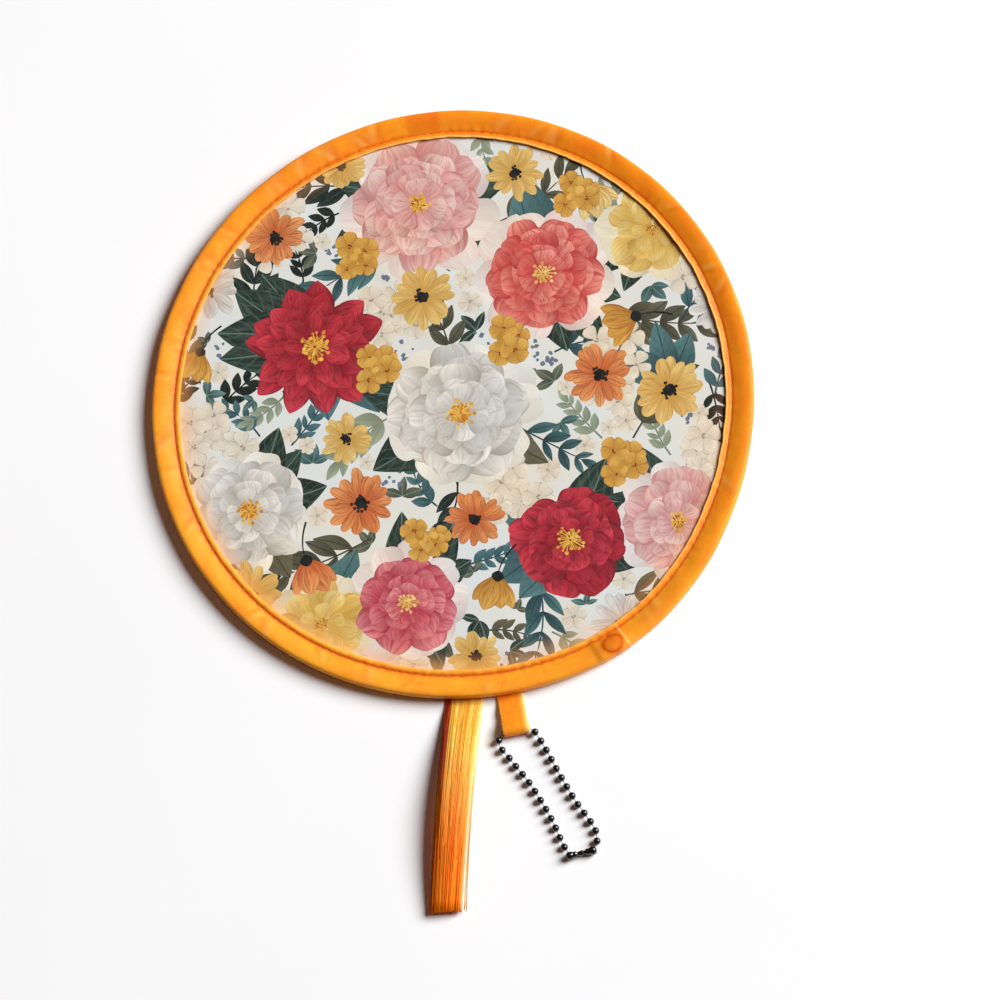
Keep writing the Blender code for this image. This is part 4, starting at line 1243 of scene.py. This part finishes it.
def make_tassel(mat):
    """Straight strands side by side and on each other, from under the rim to a cut tip."""
    place = np.array(radial_frame(TASSEL_AZIMUTH, HINGE_REACH, 0))
    rng = random.Random(17)
    sides = 4
    outward = np.linspace(0, 1, 24)[1:] ** 1.15
    stations = np.concatenate([np.linspace(-TASSEL_SEWN_REACH, 0, 11), outward * TASSEL_LENGTH])
    along = np.clip(stations / TASSEL_LENGTH, 0, 1)
    open_up = smooth(0.0, 16 * MM, stations)
    half_thick = HINGE_HEIGHT + (TASSEL_THICKNESS / 2 - HINGE_HEIGHT) * open_up
    half_wide = (TASSEL_WIDTH + (TASSEL_TIP_WIDTH - TASSEL_WIDTH) * along) / 2
    middle = sewn_course(stations + HINGE_REACH)
    middle = np.where(stations > 0, HINGE_HEIGHT + TASSEL_ARCH * np.sin(math.pi * along)
                      + (TASSEL_THICKNESS / 2 - HINGE_HEIGHT) * along, middle)
    locks = waves(rng, 5, 3, 13)
    verts, faces, marks, shades, glows = [], [], [], [], []
    strand_faces, strand_corners = skin(np.zeros((len(stations), sides, 3)))
    station_of = strand_corners[:, 0]
    for k in range(STRANDS):
        across = 2 * (k + rng.random()) / STRANDS - 1
        level = rng.uniform(0.9, 1.0) if k % 2 else rng.uniform(-1, 0.9)
        level_room = np.sqrt(np.clip(1 - np.abs(across) ** 2.6, 0.02, 1))
        drift = rng.gauss(0, 0.02) * along ** 1.5
        wave = 0.006 * np.sin(along * rng.uniform(2, 6) + rng.uniform(0, 6))
        # The first strands, at one edge, stray outwards
        stray = rng.uniform(0.1, 0.32) * along ** 1.6 if k < STRAY_STRANDS else 0.0
        x = (across * 0.975 + drift + wave - stray) * half_wide + TASSEL_DRIFT * along
        height = middle + level * level_room * (half_thick - 0.1 * MM)
        height = height + 0.05 * MM * np.sin(along * rng.uniform(3, 8) + rng.uniform(0, 6)) * open_up
        height = np.maximum(height, 0.16 * MM)
        cut = 1 - rng.uniform(0, 0.016) - (0.012 if rng.random() < 0.15 else 0.0)
        y = np.where(stations > 0, stations * cut, stations)
        thick = (0.09 + 0.03 * open_up) * MM * rng.uniform(0.85, 1.15)
        wide = (0.1 + 0.08 * open_up) * MM * rng.uniform(0.85, 1.15)
        leans = [math.tau * (j + 0.5) / sides for j in range(sides)]
        points = np.stack([np.stack([x + wide * math.cos(lean), y, height + thick * math.sin(lean)], 1)
                           for lean in leans], 1).reshape(-1, 3)
        base = len(verts)
        verts += (points @ place[:3, :3].T + place[:3, 3]).tolist()
        faces += [tuple(base + i for i in face) for face in strand_faces]
        lock = float(ripple(locks, 1.7 * across, 0.0)) * 0.36
        tone = min(1.0, max(0.0, 0.55 + lock + rng.uniform(-0.16, 0.16)))
        ones = np.ones(len(station_of))
        marks.append(np.stack([along[station_of], tone * ones, rng.random() * 9 * ones], 1))
        shade, glow = strand_colours(across, along)
        shades.append(shade[station_of])
        glows.append(glow[station_of])
    tassel = hold("tassel_strand_bundle", verts, faces, mat, None)
    for name, values in (("strand", marks), ("shade", shades), ("glow", glows)):
        corner_layer(tassel, name, np.concatenate(values))
    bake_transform(tassel)
    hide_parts("tassel_strands", "tassel_sewn_end")


# Ball chain


def heading(degrees, slope=0.0):
    turn, tilt = math.radians(degrees), math.radians(slope)
    flat = Vector((math.sin(turn), -math.cos(turn), 0))
    return flat * math.cos(tilt) + UP * math.sin(tilt)


def walk_beads(middle, axis, headings):
    """Places and axes of one run's beads, outwards from the bead in the tunnel."""
    beads = [(middle, axis)]
    for degrees, slope in zip(headings, SLOPES):
        centre, before = beads[-1]
        after = heading(degrees, slope)
        link = (before + after).normalized()
        beads.append((centre + (before + after) * PIVOT_OFFSET + link * LINK_LENGTH, after))
    return beads[1:]


def lay_chain():
    """Both runs of beads from the tunnel, laid on the surface, and the bead between them."""
    place = radial_frame(TAB_AZIMUTH, TAB_REACH - FOLD_RADIUS, 0)
    rightwards = -place.col[0].to_3d()
    middle = place @ Vector((TUNNEL_SHIFT, -TUNNEL_INSET, 0))
    left = walk_beads(middle, -rightwards, LEFT_HEADINGS)
    right = walk_beads(middle, rightwards, RIGHT_HEADINGS)
    lift = UP * (BEAD_RADIUS - min(centre.z for centre, _ in left + right))
    return ([(c + lift, a) for c, a in left], [(c + lift, a) for c, a in right],
            (middle + lift, rightwards))


def turned(place, profile, sides):
    """Rings of points round the X axis of a place, from a profile of (x, radius)."""
    turns = [math.tau * j / sides for j in range(sides)]
    return [[place @ Vector((x, *off(0, 0, turn, r))) for turn in turns] for x, r in profile]


def bead_profile():
    """A hollow ball's outline from inside one hole, over the ball, into the other."""
    turn = math.asin(BEAD_HOLE / BEAD_RADIUS)
    outside = [(BEAD_RADIUS * math.cos(a), BEAD_RADIUS * math.sin(a))
               for a in np.linspace(math.pi - turn, turn, 17)]
    lip = 0.05 * MM
    inner = (outside[-1][0] - 4 * lip, BEAD_HOLE)
    first = [(-inner[0], BEAD_HOLE), (outside[0][0] + lip, BEAD_HOLE - lip)]
    last = [(outside[-1][0] - lip, BEAD_HOLE - lip), inner]
    return first + outside + last


def make_bead(name, node, body, mat, bead, links):
    """A bead with the wires that leave it towards the places in links."""
    verts, faces = [], []

    def add(rings):
        base = len(verts)
        verts.extend(p for ring in rings for p in ring)
        faces.extend(tuple(base + i for i in face) for face in skin(rings)[0])

    add(turned(frame_along(*bead), bead_profile(), 24))
    for start, goal in links:
        length = (goal - start).length
        add(turned(frame_along(start, goal - start), [
            (0, WIRE_RADIUS * 0.6), (WIRE_RADIUS, WIRE_RADIUS), (length - 0.45 * MM, WIRE_RADIUS),
            (length - 0.3 * MM, 0.36 * MM), (length, HEAD_RADIUS), (length + 0.3 * MM, 0.36 * MM),
            (length + 0.45 * MM, 0.1 * MM)], 12))
    piece = hold(name, verts, faces, mat, body)
    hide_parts(node)


def make_chain(mat):
    left, right, middle = lay_chain()

    def leaving(bead, following):
        return bead[0] + bead[1] * PIVOT_OFFSET, following[0] - following[1] * PIVOT_OFFSET

    back = (middle[0], -middle[1])
    make_bead("ball_middle", "chain_bead_middle", "chain_top", mat, middle,
              [leaving(middle, right[0]), leaving(back, left[0])])
    body, bends = "chain_top", 0
    for i in range(len(left)):
        if i in BEND_BEFORE:
            bends += 1
            body = f"chain_{bends}"
        for side, run in (("left", left), ("right", right)):
            links = [leaving(run[i], run[i + 1])] if i + 1 < len(run) else []
            make_bead(f"ball_{side}_{i:02d}", f"chain_bead_{side}_{i:02d}", body, mat, run[i], links)
    make_clasp(mat, body, left[-1][0], right[-1][0])
    return middle[0].z


def make_clasp(mat, body, left_end, right_end):
    """The pressed sleeve that holds both end beads: a bump over each bead and a slim waist."""
    span = right_end - left_end
    half = span.length / 2
    # Along the sleeve from a bead's centre, and out from its middle line, as shares of the bore
    # and of the sleeve's outside
    bumps = [(-2.5, 0.66), (-2.25, 0.62), (-1.98, 0.46), (-1.7, 0.5), (-1.45, 0.76), (-1.15, 0.86),
             (-0.85, 0.74), (-0.6, 0.86), (-0.25, 1.03), (0.1, 1.08), (0.5, 1.01), (0.8, 0.86),
             (1.0, 0.62), (1.06, 0.46)]
    outer = [(half + x * CLASP_BORE, r * (CLASP_BORE + CLASP_WALL) * 0.92) for x, r in bumps]
    inner = [(x - 0.6 * CLASP_WALL, r - CLASP_WALL) for x, r in outer]
    section = [(-x, r) for x, r in reversed(outer)] + outer + inner[::-1] + [(-x, r) for x, r in inner]
    towards_fan = -radial_frame(TAB_AZIMUTH, 0, 0).col[1].to_3d()
    place = frame_along((left_end + right_end) / 2, span, up=towards_fan)
    turns = np.linspace(CLASP_SLOT / 2, math.tau - CLASP_SLOT / 2, 33)
    rings = [[place @ Vector((x, r * math.sin(turn), r * math.cos(turn))) for x, r in section]
             for turn in turns]
    faces, _ = skin(rings)
    clasp = hold("clasp_sleeve", [p for ring in rings for p in ring], faces, mat, body)
    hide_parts("chain_clasp")


# Floor, light, camera

TILT = math.radians(16.52)
ROLL = math.radians(0.34)
# The disc's longer axis as the camera sees it, and the side to which the camera leans
MAJOR = Vector((0.8946, 0.4468, 0))
ACROSS = Vector((0.4468, -0.8946, 0))
CAMERA_DISTANCE = 3.0
FRAME_WIDTH = 0.3297
SENSOR_WIDTH = 36
AIM_RIGHT = 15.95 * MM
AIM_DOWN = 32.55 * MM
FLOOR_REACH = 6.0
ROOM_LIGHT = 0.045
KEY_DIRECTION = Vector((0.743, 0.294, 0.602))
KEY_DISTANCE = 8.0
KEY_SIZE, KEY_POWER, KEY_COLOUR = 5.0, 1110, (0.97, 1.0, 1.02)
FILL_PLACE = Vector((-0.2, 0.25, 1.5))
FILL_SIZE, FILL_POWER, FILL_COLOUR = 1.2, 0.9, (1.0, 0.55, 0.42)


def camera_axes():
    """Right, up and back of the camera, which looks down on the cloth a little off square."""
    lowered = ACROSS * math.cos(TILT) - UP * math.sin(TILT)
    right = MAJOR.x * MAJOR + MAJOR.y * lowered
    up = MAJOR.y * MAJOR - MAJOR.x * lowered
    return (right * math.cos(ROLL) - up * math.sin(ROLL), right * math.sin(ROLL) + up * math.cos(ROLL),
            ACROSS * math.sin(TILT) + UP * math.cos(TILT))


def make_camera():
    right, up, back = camera_axes()
    target = DISC + UP * MID_HEIGHT + right * AIM_RIGHT - up * AIM_DOWN
    lens = bpy.data.cameras.new("photo_camera")
    lens.sensor_width = SENSOR_WIDTH
    lens.lens = SENSOR_WIDTH * CAMERA_DISTANCE / FRAME_WIDTH
    camera = bpy.data.objects.new("photo_camera", lens)
    bpy.context.scene.collection.objects.link(camera)
    place = Matrix((right, up, back)).transposed().to_4x4()
    place.translation = target + back * CAMERA_DISTANCE
    camera.matrix_world = place
    bpy.context.scene.camera = camera


def make_light(name, place, target, size, power, colour):
    data = bpy.data.lights.new(name, "AREA")
    data.shape = "DISK"
    data.size = size
    data.energy = power
    data.color = colour
    lamp = bpy.data.objects.new(name, data)
    bpy.context.scene.collection.objects.link(lamp)
    lamp.location = place
    lamp.rotation_euler = (target - place).to_track_quat("-Z", "Y").to_euler()


def make_room():
    """A pale floor under a large key light from the right, with faint warm light all round."""
    mat, tree, shader = material("pale_floor", 0.9, Specular_IOR_Level=0.1)
    tone = mottled(tree, object_place(tree), 6.0)
    feed(tree, shader.inputs["Base Color"],
         blend_colour(tree, tone, (0.97, 0.97, 0.97), (0.99, 0.99, 0.99)))
    corners = [(-FLOOR_REACH, -FLOOR_REACH, 0), (FLOOR_REACH, -FLOOR_REACH, 0),
               (FLOOR_REACH, FLOOR_REACH, 0), (-FLOOR_REACH, FLOOR_REACH, 0)]
    floor = hold("floor", corners, [(0, 1, 2, 3)], mat, None)
    world = bpy.data.worlds.new("soft_room")
    bpy.context.scene.world = world
    world.use_nodes = True
    background = world.node_tree.nodes["Background"]
    background.inputs["Color"].default_value = (1.0, 0.48, 0.34, 1.0)
    background.inputs["Strength"].default_value = ROOM_LIGHT
    bpy.context.scene.view_settings.view_transform = "Standard"
    centre = DISC + UP * MID_HEIGHT
    make_light("key", centre + KEY_DIRECTION * KEY_DISTANCE, centre, KEY_SIZE, KEY_POWER, KEY_COLOUR)
    make_light("top_fill", centre + FILL_PLACE, centre, FILL_SIZE, FILL_POWER, FILL_COLOUR)


def make_fan():
    # The satins' last three colours are a painted golden glow, a painted highlight and a painted groove
    # shade
    golden, groove, bright = tint(255, 188, 54), tint(214, 74, 1), tint(255, 154, 12)
    make_binding(satin("binding_satin", tint(255, 112, 1), bright, golden, tint(255, 204, 110), groove))
    make_stitches(thread_finish())
    make_cloth()
    make_tassel(strand_finish())
    tunnel_height = make_chain(black_finish())
    make_tab(satin("ribbon_satin", tint(255, 116, 1), bright, golden, tint(255, 222, 130), groove),
             tunnel_height)
    steel = steel_finish()
    for node in ("spring_hoop", "hoop_ferrule"):
        bpy.data.objects[node].data.materials.clear()
        bpy.data.objects[node].data.materials.append(steel)


make_camera()
make_room()
make_fan()
